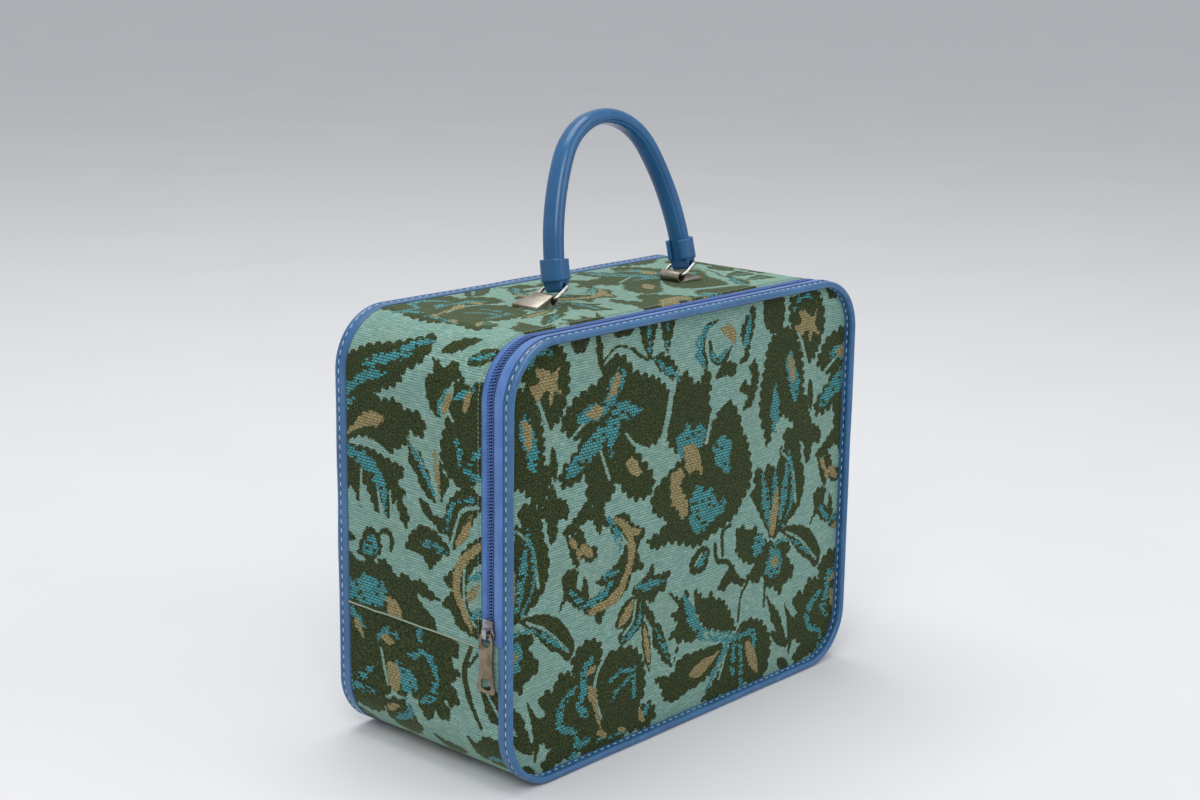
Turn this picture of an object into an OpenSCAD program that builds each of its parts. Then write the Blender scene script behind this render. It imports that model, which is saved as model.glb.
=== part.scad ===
// Overnight case with bound rims, a zip-round front that folds down and a carrying handle on rings.
// Millimetres. X runs to the right, the front faces -Y, Z is up, and the origin is the middle of the base.

/* [Case] */
// Width over the bound rims
case_w = 360; // [320:1:400]
// Height over the bound rims, without the handle
case_h = 293; // [260:1:320]
// Depth from the front rim to the back rim
case_d = 163; // [140:1:190]
// Outer radius of the rounded corners
corner_r = 40; // [34:1:48]
// Height of the cross seam, where the zip ends and the front folds
fold_h = 100; // [80:1:120]

/* [Walls] */
// Thickness of the woven cover
cover_t = 1.2; // [0.8:0.1:1.6]
// Thickness of the stiffening board
board_t = 1.8; // [1.2:0.1:2.4]
// Thickness of the lining
lining_t = 0.8; // [0.5:0.1:1.2]

/* [Bound rims] */
// How far the bound edge stands out of the panel
rim_h = 7; // [5:0.5:10]
// Thickness of the bound edge
rim_t = 3.4; // [3:0.1:4.4]
// Thickness of the vinyl binding
binding_t = 0.8; // [0.6:0.1:1]

/* [Zip] */
// Distance from the front rim's edge back to the middle of the zip
zip_back = 18.8; // [17:0.2:24]
// Width of one half of the coil
coil_w = 2.2; // [1.8:0.1:3]
// Thickness of the coil
coil_t = 1.6; // [1.2:0.1:1.8]
// Pitch of the coil's turns
coil_pitch = 2.1; // [1.8:0.1:3]
// Thickness of the zip's tape
tape_t = 0.7; // [0.5:0.1:0.9]
// Length of the slider
slider_len = 13.5; // [12:0.5:16]
// Length of the pull tab
tab_len = 40; // [30:1:48]

/* [Clips and rings] */
// Distance between the tubes of the two clips
clip_span = 132; // [116:1:150]
// Length of a clip from its tube to its outer end
clip_len = 19; // [16:0.5:24]
// Width of a clip's outer end
clip_w = 23; // [20:0.5:26]
// Diameter of the ring's wire
wire_d = 2.4; // [2:0.1:2.8]
// Distance between the two bars of a ring
ring_len = 15; // [13:0.5:18]
// How far the rings lean to the right at rest, in degrees
ring_lean = 61; // [45:1:65]

/* [Handle] */
// Height of the handle's arch above the rings' upper bars
arch_h = 109.5; // [95:0.5:125]
// Radius of the top of the arch
arch_top_r = 50; // [44:1:56]
// Thickness of the grip across the arch
grip_t = 11.5; // [10:0.5:14]
// Width of the grip from front to back
grip_w = 15.5; // [15:0.5:17]
// How far the handle leans back, in degrees
lean_back = 11; // [6:1:12]

/* [Hidden] */
$fn = 64;

// Colours
weave = [0.66, 0.72, 0.62];
vinyl = [0.27, 0.50, 0.74];
tape_blue = [0.45, 0.60, 0.76];
coil_blue = [0.33, 0.52, 0.72];
nickel = [0.62, 0.58, 0.50];
card = [0.62, 0.52, 0.40];
lining_blue = [0.62, 0.68, 0.72];
cord_white = [0.85, 0.82, 0.75];

// Clearance between pieces that move past each other
play = 0.3;

// Layers of the wall, as insets from the outline of the rims
half_w = case_w / 2;
cover_in = binding_t;
board_in = cover_in + cover_t;
lining_in = board_in + board_t;
room_in = lining_in + lining_t;

// Layers of the panels, as places in y (the back ones are mirrored)
y_edge = -case_d / 2;
y_face = y_edge + rim_h;
y_board = y_face + cover_t;
y_lining = y_board + board_t;
y_room = y_lining + lining_t;

// The zip's places
y_zip = y_edge + zip_back;
coil_gap = 0.5;
coil_out = coil_gap + coil_w;
tape_show = 3;
tape_lap = 8;
y_cover_edge = y_zip + coil_out + tape_show;
y_board_edge = y_cover_edge + tape_lap;
zip_start = fold_h + 2;
lid_z = fold_h + play;

// The slider's places, measured outward from the tape's outer face
slider_w = 11;
plate_t = 1.2;
plate_in = coil_t + play;
plate_out = plate_in + plate_t;
tab_bar_d = 1.6;
tab_axis_out = plate_out + play + tab_bar_d / 2;
bridge_in = tab_axis_out + tab_bar_d / 2 + play;
bridge_t = 1.1;
bridge_w = 3.4;
bridge_leg = 2;
slider_z = fold_h + 2.6;
tab_axis_z = slider_z + slider_len * 0.36;

// The clips and rings
z_top = case_h - binding_t;
sheet_t = 0.9;
tube_len = 17;
tube_hole_r = wire_d / 2 / cos(lean_back) + tube_len / 2 * tan(lean_back) + play;
tube_r = tube_hole_r + sheet_t;
clip_end_h = 2.6;
hood_w = 15;
rivet_r = 1.5;
rivet_head_r = 2.8;
rivet_x = 9;
rivet_y = 4;
backing_t = 1;
backing_size = 20;
ring_bend = 2.4;
ring_w = tube_len + 2 * (ring_bend + play);

// The handle, in the plane that leans back with the rings
z_tube = z_top + tube_r;
half_span = clip_span / 2;
bar_shift = ring_len * sin(ring_lean);
bar_rise = ring_len * cos(ring_lean);
bar_hole_r = wire_d / 2 + play;
loop_r = bar_hole_r + 1.9;
strap_w = 16;
strap_h = 4.5;
core_r = 3.6;
seam_w = 0.5;
keeper_h = 16;
keeper_from = strap_h + 0.2;
leg_turn = 2 * atan((half_span - arch_top_r) / (arch_h - arch_top_r));
leg_r = arch_top_r + (arch_h - arch_top_r) / sin(leg_turn);

// Runs of a section round the case. A section's points are [inset from the rims' outline, y].
function band(inset0, inset1, y0, y1) = [[inset0, y0], [inset1, y0], [inset1, y1], [inset0, y1]];

module straight_run(section, length) {
    linear_extrude(length) polygon([for (p = section) [corner_r - p[0], p[1]]]);
}

module corner_run(section) {
    rotate([90, 0, 0]) rotate_extrude(angle = 90) polygon([for (p = section) [corner_r - p[0], -p[1]]]);
}

// One end of the case: two corners, the level run between them and the sides from level to level
module end_run(section, side_length) {
    for (turn = [0, 1]) mirror([turn, 0, 0]) translate([half_w - corner_r, 0, 0]) {
        corner_run(section);
        translate([0, 0, -side_length]) straight_run(section, side_length);
    }
    translate([half_w - corner_r, 0, 0]) rotate([0, -90, 0]) straight_run(section, 2 * (half_w - corner_r));
}

module upper_run(section, from_z) {
    translate([0, 0, case_h - corner_r]) end_run(section, case_h - corner_r - from_z);
}

module lower_run(section, to_z) {
    translate([0, 0, corner_r]) mirror([0, 0, 1]) end_run(section, to_z - corner_r);
}

module outline(inset) {
    r = corner_r - inset;
    flat_w = case_w - 2 * corner_r;
    flat_h = case_h - 2 * corner_r;
    translate([0, case_h / 2]) {
        square([flat_w + 2 * r, flat_h], center = true);
        square([flat_w, flat_h + 2 * r], center = true);
        for (sx = [-1, 1], sy = [-1, 1]) translate([sx * flat_w / 2, sy * flat_h / 2]) circle(r);
    }
}

// A flat panel between two places in y and two heights
module panel(inset, y0, y1, z0, z1) {
    translate([0, y1, 0]) rotate([90, 0, 0]) linear_extrude(y1 - y0) intersection() {
        outline(inset);
        translate([-half_w, z0]) square([case_w, z1 - z0]);
    }
}

// The binding's section: a folded strip with a rounded nose, open towards the panel
function rim_section() = concat(
    [[0, y_board]],
    [for (a = [0 : 18 : 180]) [rim_t / 2 * (1 - cos(a)), y_edge + rim_t / 2 * (1 - sin(a))]],
    [[rim_t, y_face], [rim_t - binding_t, y_face], [rim_t - binding_t, y_edge + binding_t]],
    [[binding_t, y_edge + binding_t], [binding_t, y_board]]
);

// The panel's seam allowance that stands inside the binding
function tongue_section() = band(binding_t, rim_t - binding_t, y_edge + binding_t, y_board);

module rivet_holes() {
    for (side = [-1, 1], y = [-rivet_y, rivet_y])
        translate([side * (half_span + rivet_x), y, z_top - room_in - 2 * backing_t])
            cylinder(r = rivet_r, h = room_in + 3 * backing_t + sheet_t);
}

// Side walls
module gusset_upper_cover() {
    color(weave) difference() {
        upper_run(band(cover_in, board_in, y_cover_edge, -y_board), fold_h);
        rivet_holes();
    }
}

module gusset_upper_board() {
    color(card) difference() {
        upper_run(band(board_in, lining_in, y_board_edge, -y_board), fold_h);
        rivet_holes();
    }
}

module gusset_lower_cover() {
    color(weave) lower_run(band(cover_in, board_in, y_board, -y_board), fold_h);
}

module gusset_lower_board() {
    color(card) lower_run(band(board_in, lining_in, y_board, -y_board), fold_h);
}

module body_lining() {
    color(lining_blue) difference() {
        union() {
            upper_run(band(lining_in, room_in, y_board_edge, -y_lining), fold_h);
            lower_run(band(lining_in, room_in, y_room, -y_lining), fold_h);
            panel(lining_in, -y_room, -y_lining, 0, case_h);
        }
        rivet_holes();
    }
}

// Back panel
module back_cover() {
    color(weave) {
        panel(cover_in, -y_board, -y_face, 0, case_h);
        mirror([0, 1, 0]) {
            upper_run(tongue_section(), fold_h);
            lower_run(tongue_section(), fold_h);
        }
    }
}

module back_board() {
    color(card) panel(lining_in, -y_lining, -y_board, 0, case_h);
}

module back_binding() {
    color(vinyl) mirror([0, 1, 0]) {
        upper_run(rim_section(), fold_h);
        lower_run(rim_section(), fold_h);
    }
}

// Fixed lower part of the front
module front_lower_cover() {
    color(weave) {
        panel(cover_in, y_face, y_board, 0, fold_h);
        lower_run(tongue_section(), fold_h);
    }
}

module front_lower_board() {
    color(card) panel(lining_in, y_board, y_lining, 0, fold_h);
}

module front_lower_lining() {
    color(lining_blue) panel(lining_in, y_lining, y_room, 0, fold_h);
}

module front_lower_binding() {
    color(vinyl) lower_run(rim_section(), fold_h);
}

// Upper part of the front, which folds down
module lid_cover() {
    color(weave) {
        panel(cover_in, y_face, y_board, lid_z, case_h);
        upper_run(tongue_section(), lid_z);
    }
}

module lid_board() {
    color(card) panel(board_in + tape_t, y_board, y_lining, lid_z, case_h);
}

module lid_lining() {
    color(lining_blue) panel(board_in + tape_t, y_lining, y_room, lid_z, case_h);
}

module lid_binding() {
    color(vinyl) upper_run(rim_section(), lid_z);
}

// Zip
module zip_tape_body() {
    color(tape_blue) upper_run(band(board_in, board_in + tape_t, y_zip + coil_gap, y_board_edge), fold_h);
}

module zip_tape_lid() {
    color(tape_blue) upper_run(band(board_in, board_in + tape_t, y_board, y_zip - coil_gap), lid_z);
}

// A toothed strip: the turns point towards the other half, and shift starts the row
module coil_comb(length, shift) {
    turn_w = coil_pitch * 0.55;
    root = coil_out - coil_w * 0.45;
    turns = floor((length - shift - turn_w) / coil_pitch);
    polygon(concat(
        [[0, root]],
        [for (k = [0 : turns], p = [[0, root], [0, coil_gap], [turn_w, coil_gap], [turn_w, root]])
            [shift + k * coil_pitch + p[0], p[1]]],
        [[length, root], [length, coil_out], [0, coil_out]]
    ));
}

module coil_straight(length, shift) {
    translate([corner_r - board_in, 0, 0]) mirror([1, 0, 0]) rotate([0, -90, 0]) linear_extrude(coil_t)
        coil_comb(length, shift);
}

module coil_corner(shift) {
    r = corner_r - board_in;
    root = coil_out - coil_w * 0.45;
    turns = floor(PI / 2 * r / coil_pitch);
    turn_w = coil_pitch * 0.55;
    shy = 0.1;
    join = 0.3;
    rotate([90, 0, 0]) {
        rotate_extrude(angle = 90) translate([r, -coil_out]) square([coil_t, coil_out - root]);
        for (k = [0 : turns - 1]) rotate([0, 0, (k + 0.3 + 0.8 * shift) * 90 / turns])
            translate([r + shy, -turn_w / 2, -root - join])
                cube([coil_t - 2 * shy, turn_w, root + join - coil_gap]);
        // Tongues that hold the corner to the straights at its two ends
        for (end = [0, 90]) rotate([0, 0, end]) translate([r + shy, -join, shy - coil_out])
            cube([coil_t - 2 * shy, 2 * join, coil_out - root - 2 * shy]);
    }
}

// One half of the coil, drawn on the body's side of the zip's middle line
module coil_half(shift) {
    side_len = case_h - corner_r - zip_start;
    first = (0.1 + shift) * coil_pitch;
    translate([0, y_zip, case_h - corner_r]) {
        for (turn = [0, 1]) mirror([turn, 0, 0]) translate([half_w - corner_r, 0, 0]) {
            coil_corner(shift);
            translate([0, 0, -side_len]) coil_straight(side_len, first);
        }
        translate([half_w - corner_r, 0, 0]) rotate([0, -90, 0])
            coil_straight(2 * (half_w - corner_r), first);
    }
}

module zip_coil_body() {
    color(coil_blue) coil_half(0);
}

module zip_coil_lid() {
    color(coil_blue) translate([0, y_zip, 0]) mirror([0, 1, 0]) translate([0, -y_zip, 0]) coil_half(0.5);
}

// Places a piece on the left wall's zip: x outward from the tape's outer face, y across the zip, z up
module on_left_zip(z) {
    translate([board_in - half_w, y_zip, z]) mirror([1, 0, 0]) children();
}

// The slider's plate from outside: wide mouth at the bottom with a notch, narrow tail at the top
module slider_plate(from_x, thickness) {
    half = slider_w / 2;
    tail = half * 0.78;
    translate([from_x, 0, 0]) rotate([90, 0, 90]) linear_extrude(thickness) polygon([
        [0, slider_len * 0.16], [half * 0.3, 0], [half * 0.75, 0], [half, slider_len * 0.1],
        [half, slider_len * 0.38], [tail, slider_len * 0.62], [tail, slider_len * 0.94], [tail * 0.85, slider_len],
        [-tail * 0.85, slider_len], [-tail, slider_len * 0.94], [-tail, slider_len * 0.62],
        [-half, slider_len * 0.38], [-half, slider_len * 0.1], [-half * 0.75, 0], [-half * 0.3, 0]
    ]);
}

module zip_slider() {
    axis_z = tab_axis_z - slider_z;
    reach = bridge_leg + bridge_t;
    post_w = 2 * (coil_gap - 0.15);
    lip_y = coil_out + play;
    color(nickel) on_left_zip(slider_z) {
        slider_plate(plate_in, plate_t);
        slider_plate(-tape_t - play - plate_t, plate_t);
        // Post between the two halves of the coil
        translate([-tape_t - play - plate_t, -post_w / 2, slider_len * 0.2])
            cube([plate_in + tape_t + play + 2 * plate_t, post_w, slider_len * 0.3]);
        // Lip beside the fixed half of the coil
        translate([play, lip_y, slider_len * 0.12])
            cube([plate_out - play, slider_w / 2 * 0.78 - lip_y, slider_len * 0.8]);
        // Bridge that holds the pull tab
        translate([0, bridge_w / 2, axis_z]) rotate([90, 0, 0]) linear_extrude(bridge_w) difference() {
            translate([plate_in, -reach]) square([bridge_in + bridge_t - plate_in, 2 * reach]);
            translate([plate_out, -bridge_leg]) square([bridge_in - plate_out, 2 * bridge_leg]);
        }
    }
}

module zip_pull_tab() {
    tab_t = 1.2;
    ring_w_out = 12;
    ring_hole_w = 6;
    ring_hole_h = 8;
    waist_w = 10.6;
    foot_w = 15.7;
    foot_hole_r = 4.5;
    ring_end = ring_hole_h + 3;
    foot_start = tab_len - foot_w / 2;
    color(nickel) on_left_zip(tab_axis_z) {
        translate([tab_axis_out - tab_t / 2, 0, 0]) rotate([90, 0, 90]) linear_extrude(tab_t) difference() {
            union() {
                translate([-ring_w_out / 2, -ring_end]) square([ring_w_out, ring_end]);
                polygon([
                    [-ring_w_out / 2, -ring_end], [ring_w_out / 2, -ring_end],
                    [waist_w / 2, -ring_end - 4], [foot_w / 2, -foot_start],
                    [-foot_w / 2, -foot_start], [-waist_w / 2, -ring_end - 4]
                ]);
                translate([0, -foot_start]) circle(foot_w / 2);
            }
            translate([-ring_hole_w / 2, -ring_hole_h]) square([ring_hole_w, ring_hole_h + 1]);
            translate([0, -foot_start - 0.6]) circle(foot_hole_r);
        }
        translate([tab_axis_out, ring_w_out / 2, 0]) rotate([90, 0, 0])
            cylinder(d = tab_bar_d, h = ring_w_out);
    }
}

// Clips, drawn for the right side with the tube's axis over the origin and the hood towards +X
module clip() {
    hood_top = 2 * tube_r;
    slope = (hood_top - clip_end_h) / clip_len;
    nose = tube_r + 1;
    difference() {
        intersection() {
            translate([0, clip_w / 2, 0]) rotate([90, 0, 0]) linear_extrude(clip_w) {
                translate([0, tube_r]) circle(tube_r);
                polygon([[0, 0], [clip_len, 0], [clip_len, clip_end_h], [0, hood_top]]);
            }
            linear_extrude(hood_top + 1) polygon([
                [-nose, -tube_len / 2], [0, -tube_len / 2], [clip_len, -clip_w / 2],
                [clip_len, clip_w / 2], [0, tube_len / 2], [-nose, tube_len / 2]
            ]);
        }
        translate([0, clip_w / 2, tube_r]) rotate([90, 0, 0]) cylinder(r = tube_hole_r, h = clip_w);
        // Hollow under the hood
        translate([0, hood_w / 2, 0]) rotate([90, 0, 0]) linear_extrude(hood_w) polygon([
            [tube_r + 0.3, sheet_t], [clip_len - sheet_t, sheet_t],
            [clip_len - sheet_t, clip_end_h - sheet_t + slope * sheet_t],
            [tube_r + 0.3, hood_top - sheet_t - slope * (tube_r + 0.3)]
        ]);
        for (y = [-rivet_y, rivet_y]) translate([rivet_x, y, -1]) cylinder(r = rivet_r, h = sheet_t + 2);
    }
}

module clip_right() {
    color(nickel) translate([half_span, 0, z_top]) clip();
}

module clip_left() {
    color(nickel) translate([-half_span, 0, z_top]) mirror([1, 0, 0]) clip();
}

module clip_rivets() {
    depth = room_in - cover_in + backing_t;
    color(nickel) for (side = [-1, 1], y = [-rivet_y, rivet_y])
        translate([side * (half_span + rivet_x), y, z_top]) {
            translate([0, 0, -depth]) cylinder(r = rivet_r, h = depth + sheet_t);
            translate([0, 0, sheet_t]) cylinder(r = rivet_head_r, h = 1.2);
            translate([0, 0, -depth - 0.8]) cylinder(r = rivet_head_r, h = 0.8);
        }
}

module backing_plate(side) {
    under = z_top - (room_in - cover_in) - backing_t;
    color(nickel) difference() {
        translate([side * (half_span + rivet_x) - backing_size / 2, -backing_size / 2, under])
            cube([backing_size, backing_size, backing_t]);
        rivet_holes();
    }
}

module backing_plate_left() {
    backing_plate(-1);
}

module backing_plate_right() {
    backing_plate(1);
}

// Rings and handle stand in a plane that leans back about the tubes' line
module leaning(x) {
    translate([x, 0, z_tube]) rotate([-lean_back, 0, 0]) children();
}

module ring_bend_piece() {
    rotate([0, 90, 0]) rotate_extrude(angle = 90) translate([ring_bend, 0]) circle(wire_d / 2);
}

// A wire ring with its lower bar along Y at the origin
module ring() {
    bar = ring_w - 2 * ring_bend;
    side_h = ring_len - 2 * ring_bend;
    for (z = [0, ring_len]) translate([0, bar / 2, z]) rotate([90, 0, 0]) cylinder(d = wire_d, h = bar);
    for (flip = [0, 1]) mirror([0, flip, 0]) translate([0, bar / 2, ring_bend]) {
        translate([0, ring_bend, 0]) cylinder(d = wire_d, h = side_h);
        ring_bend_piece();
        translate([0, 0, side_h]) mirror([0, 0, 1]) ring_bend_piece();
    }
}

module ring_left() {
    color(nickel) leaning(-half_span) rotate([0, ring_lean, 0]) ring();
}

module ring_right() {
    color(nickel) leaning(half_span) rotate([0, ring_lean, 0]) ring();
}

// Grip's section: a full oval with a seam groove on each side of its inner face
function oval(a, b, power) = [for (k = [0 : 35]) let (c = cos(k * 10), s = sin(k * 10))
    [a * sign(c) * pow(abs(c), 2 / power), b * sign(s) * pow(abs(s), 2 / power)]];

function grooved(points, depth) = [for (k = [0 : 35]) let (cut = k == 13 || k == 23)
    cut ? points[k] * (1 - depth) : points[k]];

grip_section = grooved(oval(grip_t / 2, grip_w / 2, 2.5), 0.12);
core_section = oval(core_r, core_r, 2);

module arc(cx, cz, r, from, to) {
    translate([cx, 0, cz]) rotate([90, 0, 0]) rotate([0, 0, from]) rotate_extrude(angle = to - from)
        translate([r, 0]) children();
}

// Sweeps a section along the arch, from a height above the left bar to the same height above the right.
// The top is a hair fuller than the legs and laps over their ends.
module arch(start) {
    first = asin(start / leg_r);
    lap = 0.6;
    arc(half_span - leg_r, 0, leg_r, first, leg_turn) children();
    arc(0, arch_h - arch_top_r, arch_top_r, leg_turn - lap, 180 - leg_turn + lap) scale(1.006) children();
    arc(leg_r - half_span, 0, leg_r, 180 - leg_turn, 180 - first) children();
}

module handle_place() {
    leaning(0) translate([bar_shift, 0, bar_rise]) children();
}

module handle_cover() {
    color(vinyl) handle_place() {
        difference() {
            arch(strap_h - 0.5) polygon(grip_section);
            // The wrapped cover is open round its core, with a seam along the inner face
            arch(keeper_from + keeper_h) {
                polygon(core_section);
                translate([-grip_t, -seam_w / 2]) square([grip_t, seam_w]);
            }
        }
        // Flattened loop ends round the rings' upper bars
        for (side = [-1, 1]) translate([side * half_span, strap_w / 2, 0]) rotate([90, 0, 0])
            linear_extrude(strap_w) difference() {
                union() {
                    circle(loop_r);
                    polygon([
                        [-loop_r, 0], [loop_r, 0], [grip_t * 0.45, strap_h], [-grip_t * 0.45, strap_h]
                    ]);
                }
                circle(bar_hole_r);
            }
    }
}

module handle_core() {
    slack = 0.98;
    color(cord_white) handle_place() arch(keeper_from + keeper_h + 0.1) scale(slack) polygon(core_section);
}

// Collar over the foot of the grip
module keeper(side) {
    low = asin(keeper_from / leg_r);
    high = asin((keeper_from + keeper_h) / leg_r);
    color(vinyl) handle_place() mirror([side < 0 ? 1 : 0, 0, 0])
        arc(half_span - leg_r, 0, leg_r, low, high) difference() {
            polygon(oval(grip_t / 2 + 1.6, grip_w / 2 + 1.6, 3.2));
            polygon(grip_section);
        }
}

module keeper_left() {
    keeper(-1);
}

module keeper_right() {
    keeper(1);
}

gusset_upper_cover();
gusset_upper_board();
gusset_lower_cover();
gusset_lower_board();
back_cover();
back_board();
back_binding();
body_lining();
front_lower_cover();
front_lower_board();
front_lower_lining();
front_lower_binding();
lid_cover();
lid_board();
lid_lining();
lid_binding();
zip_tape_body();
zip_tape_lid();
zip_coil_body();
zip_coil_lid();
zip_slider();
zip_pull_tab();
clip_left();
clip_right();
clip_rivets();
backing_plate_left();
backing_plate_right();
ring_left();
ring_right();
handle_cover();
handle_core();
keeper_left();
keeper_right();
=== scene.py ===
"""Overnight case in woven cloth with bound rims: its looks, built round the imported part."""
import math

import bmesh
import bpy
import numpy as np
from mathutils import Matrix, Vector


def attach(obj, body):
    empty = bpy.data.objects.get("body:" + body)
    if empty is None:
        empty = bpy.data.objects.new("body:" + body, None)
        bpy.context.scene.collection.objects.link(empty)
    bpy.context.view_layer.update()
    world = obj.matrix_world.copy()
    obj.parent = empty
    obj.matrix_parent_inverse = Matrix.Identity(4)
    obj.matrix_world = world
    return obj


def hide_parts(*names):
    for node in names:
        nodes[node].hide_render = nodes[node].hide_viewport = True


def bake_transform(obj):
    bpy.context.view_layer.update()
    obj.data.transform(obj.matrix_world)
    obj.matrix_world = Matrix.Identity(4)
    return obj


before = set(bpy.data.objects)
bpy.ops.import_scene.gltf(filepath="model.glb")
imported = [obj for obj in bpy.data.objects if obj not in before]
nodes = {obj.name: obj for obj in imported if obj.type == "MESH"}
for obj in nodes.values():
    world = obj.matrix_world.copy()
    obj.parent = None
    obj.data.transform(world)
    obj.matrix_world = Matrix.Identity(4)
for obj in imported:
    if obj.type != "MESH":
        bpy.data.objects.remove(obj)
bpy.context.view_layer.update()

# Sizes of the case in millimetres, as in the part
MM = 0.001
HALF_W = 180.0
CASE_H = 293.0
CORNER_R = 40.0
FOLD_Z = 100.0
FACE_Y = -74.5
ROOM_Y = -70.7
ZIP_Y = -62.7
CLOTH_EDGE_Y = -54.3
TAPE_END_Y = -49.0
COVER_IN = 0.8
TAPE_IN = 2.0
ROOM_IN = 4.6
COIL_PITCH = 2.1
RIB_ROW = 1.75
FLOAT_ROW = 2.0
FLOAT_LONG = 3.6
STITCH_PITCH = 6.4
SEAM_LAP = 4.5
PANEL_IN = 2.6
BINDING_IN = 3.4
LID_LINING_IN = 2.9
WALL_END_Y = 74.6
RIM_SEAM_Y = -77.1
TILE_WIDE = 270
TILE_HIGH = 290
LOBE_DEPTH = 1.75
TAB_X = -182.2
TAB_Z = 107.46
FLAT_W = 2 * (HALF_W - CORNER_R)
FLAT_H = CASE_H - 2 * CORNER_R
ARC = math.pi / 2 * CORNER_R
LOOP = 2 * (FLAT_W + FLAT_H) + 4 * ARC
UPPER_FROM = FOLD_Z - CORNER_R
UPPER_TO = UPPER_FROM + 2 * (CASE_H - CORNER_R - FOLD_Z) + 2 * ARC + FLAT_W

# Places of the rings and the handle
TUBE_Z = 296.2747
HALF_SPAN = 66.0
RING_LEN = 15.0
RING_HALF_W = 11.2
RING_BEND = 2.4
WIRE_R = 1.2
RING_LEAN = 61.0
LEAN_BACK = 11.0
ARCH_H = 109.5
ARCH_TOP_R = 50.0
LEG_TURN = 2 * math.degrees(math.atan((HALF_SPAN - ARCH_TOP_R) / (ARCH_H - ARCH_TOP_R)))
LEG_R = ARCH_TOP_R + (ARCH_H - ARCH_TOP_R) / math.sin(math.radians(LEG_TURN))
GRIP_T = 11.5
GRIP_W = 15.5
KEEPER_FROM = 3.6
KEEPER_TO = 18.4
KEEPER_IN = 0.1
KEEPER_OUT = 1.75

# Steps in the meshes, and the distances in metres under which points are one and faces have no area
LATTICE = 64
PATCH_STEPS = 16
FRONT_STEP = 1.25
BACK_STEP = 1.7
UPPER_STEP = 1.4
LOWER_STEP = 1.5
UPPER_COLUMNS = 95
LOWER_COLUMNS = 100
STITCH_STEPS = 7
STITCH_SIDES = 6
COIL_SIDES = 6
ROLL_STEPS = 120
ROLL_SIDES = 8
WIRE_SIDES = 14
KEEPER_STEPS = 14
KEEPER_SIDES = 46
GRIP_SIDES = 72
RIM_STEPS = 952
TAPE_STEPS = 400
LINING_COLUMNS = 90
SAME_POINT = 2e-6
NO_AREA = 1e-6

# The camera: its turn, height and tilt in degrees, its place in metres and its lens in millimetres
CAMERA_ANGLES = (-47.92, 13.56, 0.76)
CAMERA_PLACE = (-1.00643, -0.90025, 0.54173)
CAMERA_LENS = 59.54
CAMERA_WIDTH = 36.0


# Finishes

def tone(red, green, blue):
    """A colour given as it shows on screen, from 0 to 255, as the shader takes it."""
    parts = [part / 255 for part in (red, green, blue)]
    return tuple(p / 12.92 if p <= 0.04045 else ((p + 0.055) / 1.055) ** 2.4 for p in parts) + (1.0,)


class Value:
    """One value in a finish: arithmetic on it adds Math nodes."""

    def __init__(self, finish, socket):
        self.finish = finish
        self.socket = socket

    def math(self, operation, first, second=0.0):
        return self.finish.add("ShaderNodeMath", {"operation": operation}, {0: first, 1: second})[0]

    def __add__(self, other):
        return self.math("ADD", self, other)

    def __radd__(self, other):
        return self.math("ADD", other, self)

    def __sub__(self, other):
        return self.math("SUBTRACT", self, other)

    def __rsub__(self, other):
        return self.math("SUBTRACT", other, self)

    def __mul__(self, other):
        return self.math("MULTIPLY", self, other)

    def __rmul__(self, other):
        return self.math("MULTIPLY", other, self)

    def __truediv__(self, other):
        return self.math("DIVIDE", self, other)

    def __rtruediv__(self, other):
        return self.math("DIVIDE", other, self)

    def sine(self):
        return self.math("SINE", self)

    def floor(self):
        return self.math("FLOOR", self)

    def highest(self, other):
        return self.math("MAXIMUM", self, other)

    def rise(self, low, high):
        """0 at low and 1 at high, with soft ends; low may be above high."""
        settings = {"interpolation_type": "SMOOTHSTEP"}
        sockets = {0: self, 1: low, 2: high, 3: 0.0, 4: 1.0}
        return self.finish.add("ShaderNodeMapRange", settings, sockets)[0]


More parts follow.
